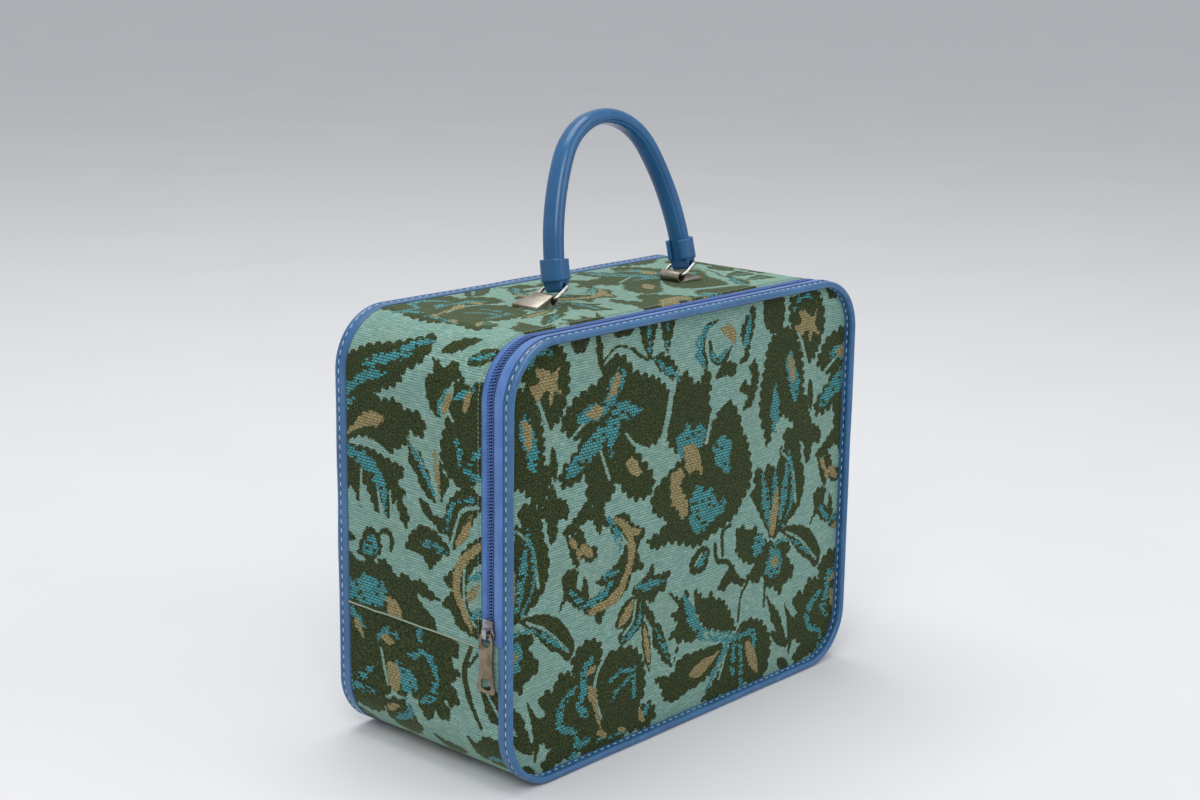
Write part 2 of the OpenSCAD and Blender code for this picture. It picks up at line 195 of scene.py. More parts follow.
class Finish:
    """A node material. add() makes any node from its settings and the values or links of its sockets."""

    def __init__(self, name):
        self.material = bpy.data.materials.new(name)
        self.material.use_nodes = True
        self.tree = self.material.node_tree
        self.tree.nodes.clear()

    def add(self, kind, settings, sockets):
        node = self.tree.nodes.new(kind)
        for key, value in settings.items():
            setattr(node, key, value)
        for key, value in sockets.items():
            if isinstance(value, Value):
                self.tree.links.new(value.socket, node.inputs[key])
            else:
                node.inputs[key].default_value = value
        return [Value(self, socket) for socket in node.outputs]

    def mix(self, share, first, second):
        return self.add("ShaderNodeMix", {"data_type": "RGBA"}, {0: share, 6: first, 7: second})[2]

    def number(self, name):
        return self.add("ShaderNodeAttribute", {"attribute_name": name}, {})[2]

    def vector(self, name):
        return self.add("ShaderNodeAttribute", {"attribute_name": name}, {})[1]

    def place(self):
        """The point on the part in millimetres."""
        point = self.add("ShaderNodeTexCoord", {}, {})[3]
        return self.add("ShaderNodeVectorMath", {"operation": "SCALE"}, {0: point, 3: 1 / MM})[0]

    def stretch(self, place, x, y, z):
        return self.add("ShaderNodeVectorMath", {"operation": "MULTIPLY"}, {0: place, 1: (x, y, z)})[0]

    def noise(self, place, scale, detail=2.0):
        return self.add("ShaderNodeTexNoise", {}, {"Vector": place, "Scale": scale, "Detail": detail})[0]

    def threads(self, place, width, height, gap):
        """Rows of short threads: the share of a gap between them at each point."""
        sockets = {"Vector": place, "Scale": 1.0, "Mortar Size": gap, "Mortar Smooth": 1.0}
        sockets.update({"Brick Width": width, "Row Height": height})
        return self.add("ShaderNodeTexBrick", {}, sockets)[1]

    def scatter(self, *parts):
        """A random value for each whole step of three values."""
        steps = {i: part.floor() for i, part in enumerate(parts)}
        cell = self.add("ShaderNodeCombineXYZ", {}, steps)[0]
        return self.add("ShaderNodeTexWhiteNoise", {}, {"Vector": cell})[0]

    def bump(self, height, millimetres):
        sockets = {"Strength": 1.0, "Distance": millimetres * MM, "Height": height}
        return self.add("ShaderNodeBump", {}, sockets)[0]

    def surface(self, sockets):
        shader = self.add("ShaderNodeBsdfPrincipled", {}, sockets)[0]
        self.add("ShaderNodeOutputMaterial", {}, {"Surface": shader})
        return self.material


def woven_cloth():
    """Brocade: ribbed pale ground, dark looped pile, and teal and tan threads floated over it in rows."""
    cloth = Finish("woven_cloth")
    place = cloth.vector("thread_place")
    across, along, panel = cloth.add("ShaderNodeSeparateXYZ", {}, {0: place})
    stray = cloth.scatter(across / 1.15, along / 1.05, panel)
    ragged = (stray - 0.5) * 0.9 + (cloth.noise(place, 0.5) - 0.5) * 0.5
    pile = (cloth.number("pile") + ragged).rise(0.2, -0.2)
    # Floats lie in rows of dashes, so their edges go in steps
    shift = (along / FLOAT_ROW).floor() * 0.5
    dash = cloth.scatter(across / FLOAT_LONG + shift, along / FLOAT_ROW, panel)
    missed = cloth.scatter(across / FLOAT_LONG + shift + 40.0, along / FLOAT_ROW, panel).rise(0.84, 0.88)
    gap = cloth.threads(place, FLOAT_LONG, FLOAT_ROW, 0.55).rise(0.1, 0.7)
    step = (dash - 0.5) * 2.4 + (stray - 0.5) * 0.6
    teal = (cloth.number("teal") + step).rise(0.15, -0.15) * (1.0 - missed)
    tan = (cloth.number("tan") + step * 0.7).rise(0.15, -0.15)
    wander = cloth.noise(cloth.stretch(place, 0.2, 1.0, 1.0), 0.7)
    row = (along * (2 * math.pi / RIB_ROW) + (wander - 0.5) * 1.6).sine() * 0.5 + 0.5
    warp = (across * (2 * math.pi / 1.45)).sine() * 0.5 + 0.5
    speck = cloth.noise(place, 0.95, 3.0)
    cloudy = cloth.noise(place, 0.02, 3.0)
    # Pale ground
    ground = cloth.mix(wander.rise(0.3, 0.7), tone(112, 150, 141), tone(140, 173, 161))
    ground = cloth.mix(row.rise(0.45, 0.0) * 0.75, ground, tone(68, 102, 94))
    ground = cloth.mix(warp.rise(0.4, 0.0) * 0.3, ground, tone(74, 107, 98))
    ground = cloth.mix(stray.rise(0.9, 1.0) * 0.45, ground, tone(180, 196, 180))
    ground = cloth.mix(cloudy.rise(0.45, 0.75) * 0.3, ground, tone(122, 142, 122))
    # Dark looped pile
    loops = cloth.mix(speck.rise(0.38, 0.52), tone(12, 17, 8), tone(46, 57, 27))
    loops = cloth.mix(speck.rise(0.55, 0.7), loops, tone(86, 92, 46))
    loops = cloth.mix(stray.rise(0.55, 1.0) * 0.55, loops, tone(28, 41, 19))
    # Teal and tan floats, with the pile showing between them
    colour = cloth.mix(pile.highest(teal).highest(tan), ground, loops)
    shine = cloth.mix(stray, tone(36, 120, 134), tone(72, 164, 172))
    warm = cloth.mix(stray, tone(122, 108, 70), tone(168, 150, 106))
    colour = cloth.mix(teal * (1.0 - gap * 0.9), colour, shine)
    colour = cloth.mix(tan * (1.0 - gap * 0.55), colour, warm)
    floats = teal.highest(tan)
    height = (row * 0.7 + warp * 0.3) * 0.4 * (1.0 - pile) + pile * (0.5 + speck * 0.8)
    height = height * (1.0 - floats) + floats * (0.6 + (1.0 - gap) * 0.6)
    rough = 0.92 - floats * 0.25
    sockets = {"Base Color": colour, "Roughness": rough, "Normal": cloth.bump(height, 0.6)}
    sockets.update({"Sheen Weight": 0.4, "Sheen Roughness": 0.34, "Sheen Tint": (0.62, 0.8, 0.48, 1.0)})
    sockets.update({"Specular IOR Level": 0.2})
    return cloth.surface(sockets)


def vinyl(name, deep, bright, rough):
    """Satin vinyl with a fine grain, scuffed lighter on its ridges, with painted shade in its folds and
    grooves.
    """
    skin = Finish(name)
    place = skin.place()
    wear_and_shade_mark = skin.number("wear_and_shade")
    cloudy = skin.noise(place, 0.025, 3.0)
    grain = skin.noise(place, 2.0, 2.0)
    scuff = skin.noise(place, 0.22, 5.0)
    colour = skin.mix(cloudy.rise(0.3, 0.7), deep, bright)
    colour = skin.mix(wear_and_shade_mark.highest(0.0) * scuff.rise(0.5, 0.75) * 0.16, colour, tone(124, 160, 198))
    # Painted shade where the mark is below 0: in grooves, along seams and at edges tucked against the
    # cloth
    colour = skin.mix((0.0 - wear_and_shade_mark).highest(0.0) * 0.6, colour, tone(18, 34, 54))
    rough_part = rough + (scuff - 0.5) * 0.12 + (grain - 0.5) * 0.05
    sockets = {"Base Color": colour, "Roughness": rough_part, "Normal": skin.bump(grain, 0.018)}
    sockets.update({"Specular IOR Level": 0.5})
    return skin.surface(sockets)


def tape_cloth():
    """Zip tape: close herringbone weave with a slight shine, and painted shade at its edges."""
    tape = Finish("zip_tape_cloth")
    place = tape.vector("thread_place")
    across, along = tape.add("ShaderNodeSeparateXYZ", {}, {0: place})[:2]
    rib = (across * 9.0).sine() * 0.5 + 0.5
    pick = (along * 7.5 + (across * 4.5).sine() * 1.5).sine() * 0.5 + 0.5
    cloudy = tape.noise(place, 0.05, 3.0)
    colour = tape.mix(cloudy.rise(0.3, 0.7), tone(60, 102, 166), tone(80, 124, 188))
    colour = tape.mix(rib * pick * 0.45, colour, tone(48, 82, 140))
    # Painted shade under the wall cloth's edge and where the tape is sewn to the binding
    painted_shade_under_edge = across.rise(CLOTH_EDGE_Y - 1.0, CLOTH_EDGE_Y + 0.1)
    colour = tape.mix(painted_shade_under_edge * 0.85, colour, tone(14, 20, 34))
    colour = tape.mix(across.rise(-74.9, -75.6) * 0.7, colour, tone(20, 34, 60))
    height = pick * 0.6 + rib * 0.4
    sockets = {"Base Color": colour, "Roughness": 0.55 + cloudy * 0.15, "Normal": tape.bump(height, 0.07)}
    sockets.update({"Sheen Weight": 0.2, "Specular IOR Level": 0.4})
    return tape.surface(sockets)


def nylon():
    """Coil: smooth nylon, with painted shade in the hollows."""
    coil = Finish("coil_nylon")
    place = coil.place()
    dirt = coil.noise(place, 0.2, 3.0)
    crown = coil.number("crown")
    # Painted shade: dark deep in the hollows, lighter towards the crowns
    colour = coil.mix(crown, tone(24, 42, 88), tone(66, 102, 164))
    colour = coil.mix(dirt.rise(0.5, 0.75) * 0.3, colour, tone(40, 48, 60))
    sockets = {"Base Color": colour, "Roughness": 0.38 + dirt * 0.15}
    return coil.surface(sockets)


def worn_metal(name, bright, dull, rough):
    """Plated sheet, dulled and finely scratched, with tarnish in patches."""
    metal = Finish(name)
    place = metal.place()
    tarnish = metal.noise(place, 0.11, 4.0)
    scratch = metal.noise(metal.stretch(place, 0.5, 0.5, 6.0), 1.2, 3.0)
    pit = metal.noise(place, 2.4, 2.0)
    colour = metal.mix(tarnish.rise(0.35, 0.7), bright, dull)
    colour = metal.mix(pit.rise(0.62, 0.75) * 0.5, colour, tone(60, 50, 40))
    rough_part = rough + (scratch - 0.5) * 0.3 + (tarnish - 0.5) * 0.25
    height = scratch * 0.6 + pit * 0.4
    sockets = {"Base Color": colour, "Metallic": 1.0, "Roughness": rough_part}
    sockets.update({"Normal": metal.bump(height, 0.03)})
    return metal.surface(sockets)


def thread(name, shade, light):
    """Sewing thread: twisted, a little grey with age."""
    yarn = Finish(name)
    place = yarn.place()
    twist = yarn.noise(place, 4.5, 2.0)
    age = yarn.noise(place, 0.05, 2.0)
    colour = yarn.mix(twist.rise(0.35, 0.65), shade, light)
    colour = yarn.mix(age.rise(0.5, 0.8) * 0.5, colour, shade)
    return yarn.surface({"Base Color": colour, "Roughness": 0.7, "Normal": yarn.bump(twist, 0.1)})


def lining_cloth():
    """Plain lining: close weave, a little uneven from thread to thread."""
    lining = Finish("lining_cloth")
    place = lining.place()
    gap = lining.threads(place, 1.4, 0.9, 0.14)
    uneven = lining.noise(place, 0.06, 4.0)
    colour = lining.mix(uneven.rise(0.25, 0.75), tone(150, 164, 172), tone(162, 174, 181))
    colour = lining.mix(gap * 0.35, colour, tone(112, 126, 136))
    sockets = {"Base Color": colour, "Roughness": 0.85, "Normal": lining.bump(1.0 - gap, 0.12)}
    sockets.update({"Sheen Weight": 0.15})
    return lining.surface(sockets)


def board():
    """Grey-brown stiffening board with flecks of fibre."""
    card = Finish("stiffening_board")
    place = card.place()
    fleck = card.noise(card.stretch(place, 0.4, 0.4, 1.2), 0.9, 5.0)
    colour = card.mix(fleck.rise(0.35, 0.65), tone(128, 112, 90), tone(164, 146, 120))
    return card.surface({"Base Color": colour, "Roughness": 0.9, "Normal": card.bump(fleck, 0.1)})


def cord_fibre():
    """Twisted cord in the grip."""
    fibre = Finish("cord_fibre")
    place = fibre.place()
    across, back, up = fibre.add("ShaderNodeSeparateXYZ", {}, {0: place})
    strand = ((across + up) * 2.4 + back * 1.2).sine() * 0.5 + 0.5
    colour = fibre.mix(strand, tone(168, 158, 136), tone(214, 206, 186))
    return fibre.surface({"Base Color": colour, "Roughness": 0.85, "Normal": fibre.bump(strand, 0.3)})


CLOTH = woven_cloth()
BINDING = vinyl("binding_vinyl", tone(42, 87, 130), tone(52, 101, 144), 0.32)
GRIP = vinyl("grip_vinyl", tone(28, 83, 128), tone(36, 95, 140), 0.23)
TAPE = tape_cloth()
NYLON = nylon()
NICKEL = worn_metal("worn_nickel", tone(178, 172, 160), tone(150, 138, 118), 0.4)
STEEL = worn_metal("slider_steel", tone(176, 178, 180), tone(128, 126, 122), 0.34)
TAB_METAL = worn_metal("worn_tab_metal", tone(150, 136, 116), tone(118, 104, 84), 0.46)
WIRE = worn_metal("ring_wire", tone(206, 204, 198), tone(168, 162, 150), 0.26)
THREAD = thread("binding_thread", tone(132, 160, 192), tone(200, 216, 230))
SEAM_THREAD = thread("seam_thread", tone(104, 124, 108), tone(166, 178, 158))
LINING = lining_cloth()
BOARD = board()
CORD = cord_fibre()


# Shapes

lattice = np.random.default_rng(7).random((LATTICE, LATTICE))


def drift(a, b):
    """Smooth random values from 0 to 1 over a plane."""
    a = np.asarray(a, float)
    b = np.asarray(b, float)
    i = np.floor(a).astype(int)
    k = np.floor(b).astype(int)
    s = a - i
    t = b - k
    s = s * s * (3 - 2 * s)
    t = t * t * (3 - 2 * t)
    i0, i1 = i % LATTICE, (i + 1) % LATTICE
    k0, k1 = k % LATTICE, (k + 1) % LATTICE
    low = lattice[i0, k0] * (1 - s) + lattice[i1, k0] * s
    high = lattice[i0, k1] * (1 - s) + lattice[i1, k1] * s
    return low * (1 - t) + high * t


def outline(t, inset):
    """Points and outward directions on the case's outline, t millimetres on from the left side's foot."""
    t = np.mod(np.asarray(t, float), LOOP)
    x = np.zeros_like(t)
    z = np.zeros_like(t)
    out_x = np.zeros_like(t)
    out_z = np.zeros_like(t)
    mid = HALF_W - CORNER_R
    low = CORNER_R
    high = CASE_H - CORNER_R
    sides = [
        ((-HALF_W, low), (0, 1), FLAT_H, (-mid, high), math.pi),
        ((-mid, CASE_H), (1, 0), FLAT_W, (mid, high), math.pi / 2),
        ((HALF_W, high), (0, -1), FLAT_H, (mid, low), 0.0),
        ((mid, 0.0), (-1, 0), FLAT_W, (-mid, low), -math.pi / 2),
    ]
    begin = 0.0
    for start, step, length, centre, angle in sides:
        on = (t >= begin) & (t < begin + length)
        x[on] = start[0] + step[0] * (t[on] - begin)
        z[on] = start[1] + step[1] * (t[on] - begin)
        out_x[on] = -step[1]
        out_z[on] = step[0]
        begin += length
        on = (t >= begin) & (t < begin + ARC)
        turn = angle - (t[on] - begin) / CORNER_R
        out_x[on] = np.cos(turn)
        out_z[on] = np.sin(turn)
        x[on] = centre[0] + CORNER_R * np.cos(turn)
        z[on] = centre[1] + CORNER_R * np.sin(turn)
        begin += ARC
    return x - out_x * inset, z - out_z * inset, out_x, out_z


def smooth_line(points, spans):
    """A smooth line through the points, with so many steps in each span."""
    p = np.asarray(points, float)
    p = np.vstack([2 * p[0] - p[1], p, 2 * p[-1] - p[-2]])
    s = np.linspace(0, 1, spans, endpoint=False)[:, None]
    made = []
    for a, b, c, d in zip(p[:-3], p[1:-2], p[2:-1], p[3:]):
        made.append(0.5 * (2 * b + (c - a) * s + (2 * a - 5 * b + 4 * c - d) * s ** 2
                           + (3 * b - a - 3 * c + d) * s ** 3))
    return np.vstack(made + [p[-2:-1]])


def grid_faces(rows, columns, close_rows=False, close_columns=False, first=0):
    """Four-sided faces over a grid of points."""
    i = np.arange(rows if close_rows else rows - 1)
    k = np.arange(columns if close_columns else columns - 1)
    i, k = (part.ravel() for part in np.meshgrid(i, k, indexing="ij"))
    i1 = (i + 1) % rows
    k1 = (k + 1) % columns
    corners = np.stack([i * columns + k, i1 * columns + k, i1 * columns + k1, i * columns + k1], 1)
    return corners + first


def tube_faces(tubes, steps, sides):
    """Faces of many tubes of one kind, one after another."""
    size = steps * sides
    return np.vstack([grid_faces(steps, sides, close_columns=True, first=size * n) for n in range(tubes)])


def piece(name, points, faces, finish, numbers=None, vectors=None):
    """A smooth mesh from points in millimetres, with its named values at each point."""
    mesh = bpy.data.meshes.new(name)
    points = np.asarray(points, float).reshape(-1, 3) * MM
    mesh.from_pydata(points.tolist(), [], np.asarray(faces).tolist())
    for key, values in (numbers or {}).items():
        held = mesh.attributes.new(key, "FLOAT", "POINT")
        held.data.foreach_set("value", np.asarray(values, np.float32).ravel())
    for key, values in (vectors or {}).items():
        held = mesh.attributes.new(key, "FLOAT_VECTOR", "POINT")
        held.data.foreach_set("vector", np.asarray(values, np.float32).ravel())
    mesh.shade_smooth()
    mesh.materials.append(finish)
    made = bpy.data.objects.new(name, mesh)
    bpy.context.scene.collection.objects.link(made)
    return made


def wear(made, body, slot, *stands_for):
    """Puts a piece on its body, in place of the solids that it stands for; its slot is not used."""
    if stands_for:
        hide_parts(*stands_for)
    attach(made, body)


def weld(mesh):
    """Joins doubled points and drops faces without area."""
    work = bmesh.new()
    work.from_mesh(mesh)
    bmesh.ops.remove_doubles(work, verts=work.verts, dist=SAME_POINT)
    bmesh.ops.dissolve_degenerate(work, dist=NO_AREA, edges=work.edges)
    work.to_mesh(mesh)
    work.free()


def half_width(z, inset):
    """Half the width of a panel with rounded corners at a height, so far inside the case's outline."""
    r = CORNER_R - inset
    z = np.clip(z, inset, CASE_H - inset)
    rise = np.maximum(np.maximum(CORNER_R - z, z - (CASE_H - CORNER_R)), 0.0)
    return HALF_W - CORNER_R + np.sqrt(np.maximum(r * r - rise * rise, 0.0))


# The cloth's pattern: leaves, flowers, stems and scrolls in millimetres on the flat cloth

def patch(points, lobe=7.5, depth=2.2):
    """A leaf or flower drawn round through points, its edge lobed all the way."""
    p = np.asarray(points, float)
    ends = 2 * PATCH_STEPS
    line = smooth_line(np.vstack([p[-2:], p, p[:2]]), PATCH_STEPS)[ends:-ends]
    run = np.roll(line, -1, 0) - np.roll(line, 1, 0)
    area = (line[:, 0] * np.roll(line[:, 1], -1) - line[:, 1] * np.roll(line[:, 0], -1)).sum()
    out = np.stack([run[:, 1], -run[:, 0]], 1) / np.maximum(np.hypot(run[:, 0], run[:, 1]), 1e-6)[:, None]
    length = np.cumsum(np.hypot(*(np.roll(line, -1, 0) - line).T))
    lobes = max(1, round(length[-1] / lobe))
    share = length / length[-1]
    # The first point sets where the lobes are long and where they are short
    uneven = 0.5 * np.sin(6 * np.pi * share + p[0, 0]) + 0.35 * np.sin(14 * np.pi * share + p[0, 1])
    wave = np.abs(np.sin(np.pi * lobes * share + uneven)) ** 0.75 - 0.52
    return ("area", line + out * np.sign(area) * (wave * LOBE_DEPTH * depth)[:, None])


def leaf(x0, z0, x1, z1, width, bend=0.0, teeth=0):
    """A narrow leaf from its stalk to its tip; bend bows its middle line and teeth notch its edge."""
    s = np.linspace(0, 1, 41)
    run = np.array([x1 - x0, z1 - z0], float)
    side = np.array([-run[1], run[0]]) / np.hypot(*run)
    middle = np.array([x0, z0]) + s[:, None] * run + side * (bend * 4 * s * (1 - s))[:, None]
    half = width / 2 * np.sin(np.pi * s ** 0.85) ** 0.75
    if teeth:
        half = half * (1 - 0.3 * np.mod(s * teeth, 1.0))
    left = middle + side * half[:, None]
    right = middle - side * half[:, None]
    return ("area", np.vstack([left, right[-2:0:-1]]))


def flower(x, z, half_x, half_z, petals, depth, turn=0.0):
    """A small flower head or a lobed spot."""
    a = np.linspace(0, 2 * np.pi, 12 * petals, endpoint=False)
    r = 1 - depth * (1 - np.abs(np.cos(petals * (a - turn) / 2)) ** 0.8)
    return ("area", np.stack([x + half_x * r * np.cos(a), z + half_z * r * np.sin(a)], 1))


def stem(widths, *points):
    """A stem, vein or ribbon along points; widths run from its first point to its last."""
    line = smooth_line(points, 5)
    wide = np.interp(np.linspace(0, 1, len(line)), np.linspace(0, 1, len(widths)), widths)
    return ("line", line, wide / 2)


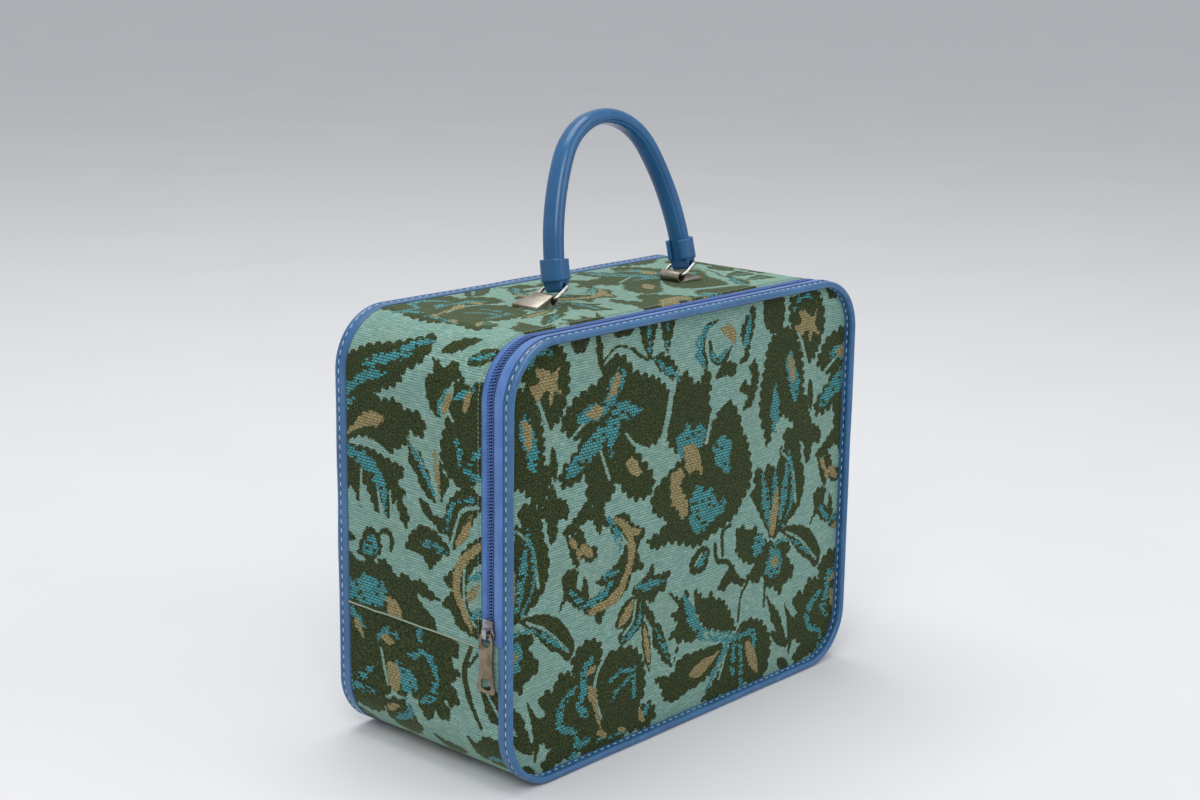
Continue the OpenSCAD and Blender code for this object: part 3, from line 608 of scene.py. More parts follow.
TILE = {
    "pile": [
        # Bell flower and the bud below it
        patch([(-160, 287), (-163, 272), (-158, 262), (-151, 257), (-147, 246), (-141, 236), (-134, 236),
            (-127, 243), (-122, 256), (-121, 268), (-126, 280), (-134, 288)]),
        patch([(-178, 262), (-186, 254), (-190, 240), (-194, 222), (-194, 206), (-189, 192), (-184, 181),
            (-179, 190), (-176, 199), (-166, 200), (-156, 193), (-146, 182), (-140, 190), (-138, 204),
            (-143, 214), (-144, 228), (-148, 244), (-154, 256), (-164, 264)]),
        leaf(-136, 222, -133, 197, 8, 0, 2),
        # Broad lobed leaf
        patch([(-79, 271), (-70, 270), (-62, 261), (-55, 256), (-45, 253), (-34, 248), (-25, 240),
            (-22, 228), (-25, 215), (-33, 208), (-45, 205), (-58, 208), (-50, 197), (-42, 189),
            (-38, 179), (-43, 171), (-56, 171), (-67, 178), (-75, 187), (-78, 181), (-86, 174),
            (-96, 173), (-103, 179), (-104, 190), (-106, 197), (-116, 194), (-127, 194), (-128, 203),
            (-118, 212), (-110, 220), (-119, 225), (-127, 232), (-124, 241), (-114, 250), (-102, 254),
            (-92, 258), (-88, 267)], 8.0, 2.2),
        # Large flower with its side leaves
        patch([(-8, 251), (0, 242), (8, 240), (15, 249), (20, 238), (18, 226), (21, 214), (17, 202),
            (8, 196), (-8, 195), (-20, 199), (-25, 210), (-24, 222), (-20, 234), (-14, 244)]),
        patch([(40, 221), (48, 215), (54, 205), (57, 196), (63, 188), (66, 176), (68, 165), (66, 154),
            (58, 146), (52, 138), (42, 133), (30, 130), (18, 126), (6, 124), (-6, 129), (-20, 133),
            (-36, 132), (-43, 139), (-30, 143), (-24, 150), (-36, 157), (-40, 166), (-34, 175),
            (-22, 182), (-8, 190), (6, 197), (16, 198), (23, 208), (31, 217)], 8.0, 2.0),
        # Curl and small leaves along the top
        stem((2, 5, 6, 3), (26, 280), (14, 276), (10, 264), (15, 252)),
        stem((3, 5, 5, 2), (18, 266), (22, 254), (34, 251), (42, 260)),
        patch([(26, 240), (33, 249), (46, 247), (45, 239), (35, 240)], 6, 1.2),
        patch([(52, 246), (57, 256), (52, 266), (56, 276), (66, 285), (67, 272), (63, 260), (60, 248)],
            6.5, 1.5),
        patch([(78, 288), (78, 272), (84, 264), (92, 261), (98, 264), (101, 273), (98, 288)], 7, 1.2),
        stem((2, 2.5, 2), (98, 264), (108, 260), (118, 256)),
        patch([(-54, 290), (-50, 273), (-44, 265), (-40, 276), (-38, 290)], 6, 1.2),
        patch([(-33, 290), (-30, 273), (-26, 266), (-22, 276), (-19, 290)], 6, 1.2),
        stem((2, 2, 1.5), (-60, 272), (-46, 264), (-30, 266)),
        patch([(-45, 265), (-34, 264), (-24, 262), (-16, 254), (-11, 242), (-18, 244), (-26, 251),
            (-36, 256)], 6, 1.4),
        flower(-111, 286, 9, 9, 6, 0.2),
        leaf(-95, 290, -90, 261, 8, 0, 3),
        stem((2, 2, 2), (-91, 268), (-76, 277), (-58, 272)),
        flower(-70, 289, 13, 7, 6, 0.2),
        patch([(52, 227), (57, 233), (62, 228), (66, 234), (62, 242), (68, 246), (73, 236), (71, 224),
            (65, 214), (57, 213), (61, 222)], 6, 1.2),
        # Scrolled leaf
        patch([(-90, 168), (-80, 162), (-72, 164), (-64, 162), (-58, 154), (-46, 147), (-53, 138),
            (-52, 130), (-46, 121), (-58, 121), (-62, 112), (-72, 105), (-84, 101), (-90, 92), (-96, 100),
            (-104, 103), (-106, 111), (-96, 112), (-84, 116), (-94, 122), (-82, 127), (-72, 132),
            (-66, 142), (-72, 148), (-78, 152), (-82, 158), (-88, 161)], 7, 1.0),
        patch([(-127, 131), (-120, 137), (-111, 134), (-113, 126), (-108, 119), (-105, 129), (-101, 118),
            (-104, 108), (-114, 110), (-121, 117), (-129, 111), (-124, 122)], 6, 1.0),
        patch([(-124, 161), (-117, 158), (-111, 162), (-106, 158), (-103, 150), (-94, 146), (-94, 140),
            (-102, 138), (-108, 143), (-112, 137), (-117, 142), (-120, 150)], 6, 1.0),
        patch([(-127, 162), (-116, 170), (-106, 178), (-100, 183), (-98, 172), (-90, 179), (-87, 168),
            (-91, 155), (-99, 166), (-108, 165), (-116, 160)], 6, 1.0),
        patch([(-151, 178), (-143, 184), (-136, 197), (-131, 188), (-122, 183), (-121, 172), (-130, 173),
            (-131, 165), (-136, 158), (-140, 168), (-142, 176)], 7, 1.0),
        stem((2, 2, 2), (-137, 214), (-138, 204), (-136, 190)),
        # Leaf, bud and stems under the scroll
        patch([(-59, 106), (-50, 112), (-43, 116), (-37, 122), (-35, 114), (-27, 113), (-18, 112),
            (-22, 106), (-24, 100), (-32, 100), (-37, 94), (-44, 98), (-52, 102)], 6, 0.9),
        patch([(-58, 104), (-52, 101), (-46, 91), (-47, 82), (-56, 76), (-67, 72), (-71, 78), (-66, 84),
            (-74, 86), (-71, 94), (-65, 102)], 9, 0.8),
        stem((2, 2.5, 2), (-56, 110), (-46, 92), (-37, 78)),
        patch([(-52, 106), (-44, 95), (-36, 87), (-34, 79), (-42, 84), (-48, 93)], 7, 0.7),
        leaf(-46, 84, -38, 44, 10, 0, 3),
        patch([(-37, 80), (-28, 75), (-22, 62), (-15, 43), (-22, 47), (-30, 57), (-37, 68)], 7, 1.2),
        # Low flowers at the left
        patch([(-147, 52), (-142, 60), (-134, 59), (-128, 67), (-118, 66), (-113, 62), (-116, 74),
            (-108, 82), (-98, 84), (-88, 78), (-87, 66), (-80, 70), (-66, 70), (-54, 66), (-46, 56),
            (-43, 44), (-44, 31), (-50, 21), (-38, 23), (-31, 13), (-40, 5), (-60, 7), (-80, 3),
            (-100, 4), (-112, 8), (-126, 7), (-141, 4), (-143, 12), (-135, 18), (-145, 26), (-147, 36),
            (-142, 44)], 8.0, 2.0),
        # Low leaves in the middle
        patch([(-33, 37), (-26, 30), (-22, 20), (-12, 16), (0, 18), (10, 22), (4, 28), (-4, 32), (4, 36),
            (-5, 41), (-18, 36), (-28, 39)], 7, 1.4),
        patch([(-21, 97), (-12, 92), (-6, 89), (0, 94), (3, 78), (9, 66), (18, 58), (4, 55), (-6, 58),
            (-12, 45), (-10, 60), (-19, 64), (-10, 72), (-17, 80), (-9, 84)], 7, 1.4),
        patch([(7, 91), (14, 88), (20, 82), (26, 86), (30, 80), (38, 78), (44, 72), (50, 62), (55, 51),
            (46, 50), (34, 56), (22, 60), (14, 70), (8, 80)], 7, 1.6),
        patch([(-11, 42), (0, 46), (12, 46), (24, 46), (36, 46), (41, 38), (34, 30), (26, 24), (14, 20),
            (2, 22), (-8, 26), (-11, 34)], 8, 1.6),
        patch([(60, 52), (72, 54), (84, 50), (92, 42), (97, 32), (97, 20), (92, 8), (80, 3), (66, 7),
            (58, 3), (44, 6), (36, 3), (20, 7), (30, 16), (38, 24), (46, 36), (52, 46)], 8, 1.8),
        # Upright flower, the round flower under it and their leaves
        patch([(67, 148), (73, 152), (71, 160), (76, 167), (82, 162), (88, 167), (96, 162), (100, 167),
            (102, 177), (108, 174), (104, 184), (108, 189), (118, 187), (124, 178), (127, 164),
            (131, 152), (131, 140), (126, 128), (116, 120), (104, 114), (98, 110), (92, 112), (84, 124),
            (76, 136)], 9, 1.2),
        patch([(51, 124), (60, 127), (66, 122), (74, 124), (80, 116), (88, 110), (98, 106), (108, 106),
            (118, 100), (114, 92), (121, 84), (122, 76), (112, 72), (106, 65), (98, 72), (90, 74),
            (86, 84), (78, 80), (67, 88), (76, 94), (67, 98), (58, 104), (52, 112)], 8, 1.5),
        patch([(104, 113), (116, 115), (130, 112), (142, 106), (150, 96), (156, 84), (150, 75), (142, 82),
            (132, 88), (124, 96), (116, 104)], 12, 0.6),
        stem((2.5, 2.5), (88, 80), (88, 60)),
        patch([(90, 68), (100, 57), (108, 48), (113, 36), (119, 22), (110, 28), (104, 38), (98, 46),
            (94, 56)], 9, 0.8),
        leaf(98, 38, 118, 20, 8),
        patch([(111, 60), (118, 49), (125, 40), (125, 28), (120, 14), (118, 30), (116, 44)], 10, 0.6),
        leaf(106, 14, 122, 2, 9),
        patch([(4, 104), (2, 112), (8, 119), (16, 122), (23, 118), (20, 106), (12, 103)], 6, 0.8),
        stem((3, 4, 3), (46, 131), (37, 127), (38, 110)),
        stem((4, 4, 3, 2.5), (29, 120), (32, 108), (44, 104), (54, 92), (64, 85), (76, 88)),
        patch([(33, 86), (42, 96), (50, 101), (55, 91), (62, 82), (48, 88), (40, 83)], 6, 0.8),
        stem((3, 2.5), (68, 84), (60, 74), (58, 56)),
    ],
    "bare": [
        stem((2.2, 2.0, 1.6), (-151, 258), (-145, 245), (-139, 232)),
        stem((1.0, 2.0, 2.6), (-67, 218), (-58, 209), (-44, 202)),
        stem((1.0, 1.8), (-96, 222), (-82, 190)),
        stem((1.0, 1.6), (-100, 236), (-116, 226)),
        stem((1.5, 2.4), (22, 216), (17, 196)),
        stem((1.2, 1.6), (-54, 100), (-57, 86), (-66, 79)),
        stem((1.4, 2.0, 2.0, 1.4), (-82, 70), (-91, 60), (-94, 44), (-87, 26)),
        stem((3.0, 4.5, 4.5, 3.5), (-16, 250), (-22, 234), (-25, 220), (-31, 204)),
        stem((1.6, 2.2, 1.6), (-4, 54), (14, 49), (36, 46)),
        stem((1.4, 1.4), (46, 37), (38, 18)),
        stem((1.2, 1.6), (112, 111), (130, 101), (150, 82)),
        stem((1.2, 1.8), (90, 114), (78, 130), (66, 146)),
        stem((1.4, 1.6), (8, 110), (15, 117)),
        stem((1.2, 1.8), (102, 174), (116, 160), (122, 132)),
        stem((1.2, 1.6), (-70, 150), (-64, 142)),
    ],
    "teal": [
        patch([(-166, 244), (-162, 226), (-158, 217), (-152, 207), (-149, 222), (-154, 236), (-160, 246)],
            6, 1.0),
        patch([(-176, 225), (-181, 212), (-182, 202), (-177, 190), (-173, 196), (-172, 212)], 6, 1.0),
        stem((3, 4, 3), (-157, 276), (-150, 284), (-138, 282)),
        leaf(-148, 262, -138, 270, 5),
        leaf(-136, 262, -131, 256, 4),
        patch([(-88, 236), (-86, 246), (-80, 257), (-72, 262), (-68, 255), (-74, 246), (-80, 238)], 6,
            1.2),
        patch([(-84, 236), (-94, 243), (-104, 241), (-114, 236), (-104, 232), (-92, 232)], 6, 1.2),
        patch([(-80, 234), (-72, 239), (-62, 237), (-51, 231), (-64, 228), (-74, 231)], 6, 1.2),
        patch([(-80, 231), (-92, 227), (-104, 219), (-122, 205), (-119, 199), (-104, 205), (-92, 213),
            (-84, 222)], 6, 1.4),
        patch([(-77, 231), (-73, 222), (-78, 214), (-80, 205), (-84, 216), (-84, 226)], 6, 1.0),
        patch([(-13, 195), (-15, 204), (-8, 208), (-3, 213), (2, 206), (8, 212), (15, 207), (14, 198),
            (9, 193), (2, 197), (-6, 197), (-10, 190)], 6, 0.8),
        patch([(24, 190), (32, 196), (38, 196), (45, 190), (43, 178), (42, 169), (34, 174), (27, 182)], 6,
            1.0),
        patch([(1, 156), (4, 164), (12, 167), (16, 161), (24, 161), (30, 152), (38, 151), (38, 143),
            (30, 141), (22, 137), (12, 133), (3, 139), (0, 148)], 6, 1.2),
        stem((3, 8, 8, 4), (19, 278), (9, 271), (7, 260), (12, 251)),
        stem((3, 5, 3), (19, 258), (28, 253), (36, 258)),
        leaf(57, 252, 62, 282, 6, 0, 4),
        stem((3, 3), (-45, 288), (-44, 270)),
        stem((3, 3), (-26, 284), (-27, 270)),
        leaf(-40, 263, -13, 244, 6, 1, 4),
        stem((3, 6, 4), (-82, 163), (-74, 152), (-71, 140)),
        leaf(-88, 124, -72, 125, 6),
        stem((3, 7, 5, 4), (-78, 120), (-88, 112), (-104, 109), (-117, 121)),
        leaf(-55, 108, -25, 107, 7, 1, 4),
        stem((2, 5, 5, 3), (-49, 97), (-50, 86), (-58, 78), (-68, 75)),
        leaf(-34, 75, -17, 47, 5, 1, 4),
        stem((3, 6, 7, 6, 4, 3), (-112, 54), (-122, 49), (-128, 39), (-124, 29), (-111, 22), (-112, 12)),
        stem((4, 8, 6, 8, 5), (-97, 70), (-104, 64), (-104, 52), (-108, 41), (-103, 33)),
        stem((4, 5, 3), (-98, 14), (-108, 12), (-116, 5)),
        stem((3, 4, 3), (-79, 50), (-68, 53), (-53, 52)),
        stem((3, 4, 3), (-77, 35), (-70, 42), (-60, 45)),
        stem((4, 4), (-55, 50), (-54, 32)),
        stem((3, 3), (-90, 11), (-60, 8)),
        leaf(-46, 12, -38, 22, 5),
        patch([(-3, 92), (-1, 78), (5, 66), (14, 56), (28, 50), (44, 45), (54, 44), (50, 50), (34, 54),
            (22, 59), (12, 70), (5, 84)], 6, 1.2),
        stem((5, 6, 4), (52, 47), (40, 34), (23, 13)),
        stem((4, 5, 4), (55, 44), (54, 32), (54, 18)),
        stem((3, 4, 3), (60, 46), (63, 28), (64, 8)),
        stem((4, 6, 4), (60, 47), (76, 42), (79, 24)),
        leaf(92, 118, 81, 162, 10, 0, 5),
        leaf(97, 118, 96, 164, 9, 0, 5),
        leaf(102, 118, 110, 168, 9, -2, 5),
        stem((2, 4, 2), (107, 117), (119, 140), (112, 172)),
        flower(98, 90, 11, 12, 7, 0.25),
        flower(79, 109, 8, 9, 6, 0.35),
        stem((3, 3, 2), (94, 103), (106, 106), (118, 104)),
        leaf(117, 105, 151, 81, 5, 1, 5),
        leaf(10, 108, 20, 117, 7),
    ],
    "tan": [
        patch([(-163, 244), (-161, 232), (-157, 222), (-154, 230), (-158, 242)], 6, 0.8),
        patch([(-156, 262), (-148, 266), (-152, 274), (-142, 272), (-136, 268), (-130, 272), (-132, 262),
            (-127, 254), (-134, 257), (-138, 250), (-141, 260), (-150, 254)], 6, 0.8),
        patch([(-85, 242), (-80, 254), (-76, 261), (-73, 255), (-78, 245)], 6, 0.8),
        patch([(-88, 237), (-94, 242), (-105, 238), (-98, 233), (-90, 233)], 6, 0.8),
        patch([(-67, 198), (-60, 200), (-52, 193), (-50, 187), (-57, 188), (-63, 192)], 9, 0.6),
        patch([(-20, 180), (-12, 183), (-6, 178), (-10, 170), (-4, 162), (-1, 151), (-8, 147), (-13, 156),
            (-19, 160), (-20, 169)], 8, 0.8),
        patch([(-7, 196), (2, 198), (9, 191), (13, 175), (6, 180), (-2, 178), (-6, 186)], 8, 0.8),
        leaf(30, 274, 47, 261, 9, 3),
        stem((3, 7, 7, 6, 8, 5), (-75, 161), (-64, 152), (-59, 138), (-62, 124), (-74, 108), (-99, 103)),
        leaf(-63, 150, -49, 147, 6),
        leaf(-119, 159, -112, 149, 5),
        leaf(-112, 150, -109, 141, 4),
        leaf(-109, 151, -97, 141, 7),
        leaf(-56, 101, -71, 86, 8, 1),
        leaf(-45, 80, -38, 47, 5),
        leaf(-103, 60, -91, 65, 6, 0, 2),
        leaf(-99, 53, -91, 33, 9, 0, 3),
        stem((2, 2.5, 2), (-95, 46), (-93, 34), (-87, 19)),
        leaf(-91, 17, -80, 11, 5),
        leaf(-70, 13, -60, 9, 5),
        leaf(-49, 20, -42, 9, 5),
        patch([(4, 29), (12, 36), (24, 38), (37, 39), (27, 32), (14, 26)], 14, 0.5),
        patch([(66, 39), (74, 36), (80, 26), (83, 12), (76, 16), (70, 26)], 14, 0.5),
        leaf(94, 111, 100, 148, 9),
        flower(99, 91, 5, 4, 5, 0.2),
    ],
}

# The left side's upper wall, with its own cut of the cloth
SIDE = {
    "pile": [
        patch([(-76, 262), (-64, 270), (-50, 276), (-34, 280), (-18, 286), (-4, 292), (1, 280), (-4, 270),
            (-14, 264), (-18, 256), (-26, 251), (-36, 248), (-43, 243), (-36, 241), (-24, 243),
            (-14, 238), (-2, 238), (5, 230), (0, 222), (-10, 225), (-14, 216), (-22, 211), (-30, 206),
            (-44, 212), (-60, 213), (-72, 205), (-84, 210), (-84, 240)], 8, 1.8),
        patch([(-80, 208), (-66, 206), (-48, 206), (-36, 203), (-26, 201), (-16, 199), (-18, 192),
            (-24, 189), (-14, 182), (-18, 178), (-11, 168), (-14, 160), (-20, 166), (-24, 176),
            (-32, 162), (-36, 172), (-42, 163), (-50, 176), (-56, 181), (-58, 165), (-66, 176),
            (-76, 176)], 7, 1.3),
        patch([(-62, 131), (-56, 146), (-50, 152), (-41, 149), (-38, 140), (-43, 133), (-52, 129)], 7,
            1.2),
        stem((2, 4, 4, 3), (-42, 148), (-34, 153), (-28, 149), (-29, 141)),
        leaf(-84, 143, -62, 141, 9, 0, 2),
        leaf(-84, 126, -64, 129, 8, 0, 2),
        patch([(4, 262), (10, 267), (6, 275), (14, 274), (18, 270), (26, 277), (34, 268), (28, 262),
            (22, 256), (16, 246), (18, 238), (10, 243), (6, 252)], 7, 1.3),
        patch([(30, 258), (36, 267), (44, 262), (54, 266), (60, 240), (58, 214), (48, 200), (42, 196),
            (34, 198), (24, 204), (19, 214), (20, 226), (24, 236), (26, 246)], 8, 1.6),
        leaf(10, 281, 36, 297, 13, 0, 4),
        leaf(36, 277, 60, 291, 15, 0, 3),
        patch([(-12, 223), (-8, 214), (0, 212), (4, 204), (8, 200), (10, 190), (14, 183), (7, 184),
            (0, 190), (-4, 198), (-10, 204), (-11, 212)], 7, 0.9),
        patch([(17, 216), (21, 204), (27, 198), (22, 190), (19, 184), (17, 198)], 7, 0.8),
        patch([(-2, 181), (6, 180), (12, 174), (20, 173), (25, 165), (18, 163), (12, 168), (4, 172)], 6,
            0.9),
        patch([(21, 170), (24, 181), (30, 190), (40, 197), (51, 197), (56, 188), (50, 180), (44, 170),
            (36, 160), (30, 155), (25, 162)], 8, 1.0),
        patch([(-14, 145), (-10, 156), (-2, 163), (8, 164), (18, 160), (27, 152), (20, 148), (14, 142),
            (8, 137), (0, 144)], 7, 1.3),
        patch([(58, 168), (46, 162), (38, 154), (34, 144), (28, 140), (21, 132), (28, 126), (19, 116),
            (28, 112), (32, 106), (40, 102), (56, 101), (58, 110), (46, 116), (42, 126), (44, 138),
            (50, 148), (58, 152)], 7, 0.9),
        patch([(-80, 131), (-66, 128), (-58, 126), (-52, 131), (-44, 128), (-38, 133), (-30, 130),
            (-24, 124), (-16, 128), (-8, 124), (0, 127), (8, 122), (17, 118), (8, 116), (-5, 116),
            (4, 108), (11, 104), (14, 96), (0, 90), (-20, 90), (-60, 90), (-84, 90)], 7, 1.3),
    ],
    "bare": [
        stem((1.8, 2.0, 1.2), (-68, 207), (-46, 211), (-26, 204)),
        stem((1.0, 2.2), (-57, 190), (-58, 166)),
        stem((1.0, 2.0), (-42, 186), (-38, 163)),
        stem((1.0, 2.0), (-29, 182), (-28, 162)),
        stem((1.4, 2.0), (28, 158), (37, 180), (52, 187)),
        stem((1.4, 1.6), (40, 148), (40, 120), (50, 108)),
        stem((1.4, 1.8), (22, 248), (30, 238)),
        stem((1.4, 1.4), (-4, 214), (6, 196)),
    ],
    "teal": [
        leaf(-26, 275, 2, 287, 8, 2, 6),
        leaf(-56, 260, -12, 274, 9, 2, 8),
        leaf(-64, 249, -32, 259, 8, 1, 6),
        leaf(-76, 238, -56, 251, 8, 1, 4),
        leaf(-84, 220, -62, 238, 8, 1, 4),
        patch([(-78, 208), (-66, 204), (-54, 202), (-42, 196), (-34, 186), (-32, 176), (-34, 164),
            (-38, 176), (-44, 184), (-54, 191), (-66, 196), (-78, 199)], 6, 1.0),
        patch([(-57, 134), (-53, 143), (-45, 146), (-42, 139), (-50, 132)], 6, 0.8),
        leaf(17, 241, 24, 257, 6, 0, 3),
        leaf(31, 253, 50, 263, 7, 0, 3),
        leaf(31, 234, 36, 208, 6, 2, 3),
        leaf(39, 209, 58, 204, 6, 0, 3),
        leaf(45, 213, 56, 226, 6, 0, 2),
        leaf(36, 279, 56, 288, 6, 0, 4),
        leaf(-10, 217, 13, 186, 6, 1, 5),
        leaf(-1, 152, 24, 151, 7, 1, 5),
        stem((2, 5, 3), (23, 165), (30, 183), (48, 191)),
        leaf(44, 112, 58, 121, 6, 0, 2),
        leaf(43, 138, 58, 146, 6, 0, 2),
        patch([(-72, 99), (-73, 110), (-62, 112), (-56, 118), (-44, 117), (-36, 114), (-33, 106),
            (-42, 100), (-56, 97)], 6, 1.4),
    ],
    "tan": [
        patch([(-71, 211), (-62, 222), (-50, 230), (-34, 230), (-42, 222), (-54, 220)], 14, 0.5),
        leaf(20, 241, 29, 258, 7, 0, 2),
        leaf(40, 245, 45, 262, 7, 0, 2),
        leaf(32, 158, 47, 181, 7, -2),
        stem((5, 7, 7, 4), (56, 163), (38, 148), (33, 128), (46, 105)),
        leaf(43, 123, 53, 137, 6, 0, 2),
        leaf(13, 217, 18, 184, 4),
        patch([(-35, 106), (-26, 107), (-18, 99), (-24, 95), (-32, 98)], 9, 0.6),
    ],
}

# The left side's lower wall
LOW_SIDE = {
    "pile": [
        patch([(-84, 99), (-40, 99), (0, 99), (28, 95), (35, 86), (27, 79), (35, 71), (27, 64), (35, 55),
            (28, 48), (20, 51), (27, 42), (20, 36), (12, 40), (7, 32), (0, 35), (-4, 43), (-12, 46),
            (-20, 41), (-28, 45), (-36, 36), (-40, 26), (-50, 20), (-66, 21), (-84, 28)], 9, 1.8),
        patch([(-37, 32), (-30, 38), (-20, 39), (-12, 36), (-8, 28), (-5, 20), (-12, 12), (-22, 9),
            (-32, 14), (-38, 22)], 8, 1.6),
        patch([(4, 20), (12, 18), (22, 17), (33, 14), (28, 7), (18, 5), (10, 9)], 7, 1.0),
        patch([(40, 30), (50, 28), (56, 35), (64, 36), (72, 34), (78, 20), (66, 11), (54, 14), (44, 18)],
            8, 1.4),
        stem((3, 5, 5, 3), (47, 96), (40, 77), (44, 58), (55, 41)),
        stem((2, 3), (52, 90), (44, 80)),
        patch([(54, 66), (64, 71), (74, 63), (77, 52), (66, 47), (58, 55)], 8, 1.0),
        patch([(-84, 18), (-70, 16), (-60, 10), (-62, 1), (-84, -2)], 8, 1.2),
    ],
    "bare": [
        stem((1.2, 2.0), (-16, 60), (-10, 40)),
        stem((1.2, 1.6), (-40, 70), (-34, 46)),
        stem((1.4, 1.4), (60, 66), (70, 54)),
    ],
    "teal": [
        leaf(-74, 94, -54, 78, 7, 0, 3),
        stem((3, 5, 3), (-43, 76), (-33, 84), (-23, 82)),
        patch([(-27, 63), (-16, 63), (-5, 57), (-10, 46), (-20, 48)], 6, 1.0),
        stem((4, 6, 6, 5), (-12, 72), (4, 77), (13, 65), (10, 50), (-1, 43)),
        leaf(-3, 99, -2, 82, 6),
        stem((4, 4), (-73, 50), (-70, 34)),
        leaf(-67, 39, -48, 55, 7, 0, 4),
        leaf(-70, 36, -44, 38, 6, 0, 3),
        stem((3, 6, 5), (-16, 41), (-13, 30), (-30, 21)),
        leaf(-84, 13, -62, 9, 6, 0, 3),
        leaf(54, 17, 74, 18, 6, 0, 3),
    ],
    "tan": [
        leaf(-67, 85, -57, 73, 7, 0, 2),
        leaf(-40, 79, -26, 77, 7, 0, 3),
        patch([(-35, 60), (-26, 63), (-21, 52), (-24, 43), (-33, 47)], 8, 0.7),
        leaf(-37, 27, -22, 34, 6),
    ],
}


def moved(layout, right, up):
    """The layout's shapes at another place on the cloth."""
    step = np.array([right, up], float)
    made = {}
    for layer, shapes in layout.items():
        made[layer] = [(shape[0], shape[1] + step) + tuple(shape[2:]) for shape in shapes]
    return made


def tiled(right, up, first, last):
    """The repeating pattern, laid out from a place on the cloth in rows from the first to the last."""
    made = {layer: [] for layer in TILE}
    for i in range(-1, 2):
        for k in range(first, last + 1):
            for layer, shapes in moved(TILE, right + TILE_WIDE * i, up + TILE_HIGH * k).items():
                made[layer] += shapes
    return made


def joined(*layouts):
    """Several layouts as one."""
    return {layer: [shape for layout in layouts for shape in layout[layer]] for layer in TILE}


def distance(shape, u, v):
    """Signed distance from points to a shape's edge, less than 0 inside it."""
    if shape[0] == "line":
        line, radius = shape[1], shape[2]
        a, b = line[:-1], line[1:]
        ra, rb = radius[:-1], radius[1:]
    else:
        a = shape[1]
        b = np.roll(a, -1, 0)
    run = b - a
    du = u[:, None] - a[None, :, 0]
    dv = v[:, None] - a[None, :, 1]
    share = np.clip((du * run[:, 0] + dv * run[:, 1]) / np.maximum((run ** 2).sum(1), 1e-9), 0, 1)
    far = np.hypot(du - share * run[:, 0], dv - share * run[:, 1])
    if shape[0] == "line":
        return (far - (ra + (rb - ra) * share)).min(1)
    above = a[None, :, 1] > v[:, None]
    level = np.where(np.abs(run[:, 1]) < 1e-9, 1e-9, run[:, 1])
    cross = (above != (b[None, :, 1] > v[:, None])) & (du < run[:, 0] * dv / level)
    return np.where(cross.sum(1) % 2 == 1, -1.0, 1.0) * far.min(1)


def drawn(shapes, u, v):
    """Distance from each point of the cloth to the nearest of the shapes."""
    reach = 4.0
    field = np.full(u.shape, reach)
    for shape in shapes:
        extra = reach + (shape[2].max() if shape[0] == "line" else 0.0)
        low = shape[1].min(0) - extra
        high = shape[1].max(0) + extra
        near = (u > low[0]) & (u < high[0]) & (v > low[1]) & (v < high[1])
        if near.any():
            field[near] = np.minimum(field[near], distance(shape, u[near], v[near]))
    return field


def cloth_piece(name, points, u, v, layout, number):
    """A sheet of the woven cloth, with its pattern held at its points."""
    flat_u = u.ravel()
    flat_v = v.ravel()
    fields = {layer: drawn(shapes, flat_u, flat_v) for layer, shapes in layout.items()}
    loose = (drift(flat_u / 2.6, flat_v / 2.6) - 0.5) * 0.5
    loose = loose + (drift(flat_u / 8 + 20, flat_v / 8) - 0.5) * 0.6
    numbers = {
        "pile": np.maximum(fields["pile"] + loose, 0.4 - fields["bare"]),
        "teal": fields["teal"] + loose * 0.7,
        "tan": fields["tan"] + loose * 0.6,
    }
    place = np.stack([flat_u, flat_v, np.full(flat_u.shape, 50.0 * number + 0.37)], 1)
    return piece(name, points, grid_faces(*u.shape), CLOTH, numbers, {"thread_place": place})


# Camera and stage

def set_camera():
    """The photograph's own view, fitted from the case's corners."""
    azimuth, elevation, roll = (math.radians(a) for a in CAMERA_ANGLES)
    back = Vector((math.sin(azimuth) * math.cos(elevation), -math.cos(azimuth) * math.cos(elevation),
                   math.sin(elevation)))
    right = (-back).cross(Vector((0, 0, 1))).normalized()
    up = back.cross(right)
    turned = right * math.cos(roll) + up * math.sin(roll)
    raised = up * math.cos(roll) - right * math.sin(roll)
    data = bpy.data.cameras.new("camera")
    data.lens = CAMERA_LENS
    data.sensor_width = CAMERA_WIDTH
    camera = bpy.data.objects.new("camera", data)
    x, y, z = CAMERA_PLACE
    camera.matrix_world = Matrix((
        (turned.x, raised.x, back.x, x),
        (turned.y, raised.y, back.y, y),
        (turned.z, raised.z, back.z, z),
        (0, 0, 0, 1),
    ))
    bpy.context.scene.collection.objects.link(camera)
    bpy.context.scene.camera = camera


def add_lamp(name, place, width, watts, target):
    """A square lamp that faces a point."""
    data = bpy.data.lights.new(name, "AREA")
    data.shape = "SQUARE"
    data.size = width
    data.energy = watts
    lamp = bpy.data.objects.new(name, data)
    lamp.location = place
    lamp.rotation_euler = (Vector(target) - Vector(place)).to_track_quat("-Z", "Y").to_euler()
    bpy.context.scene.collection.objects.link(lamp)


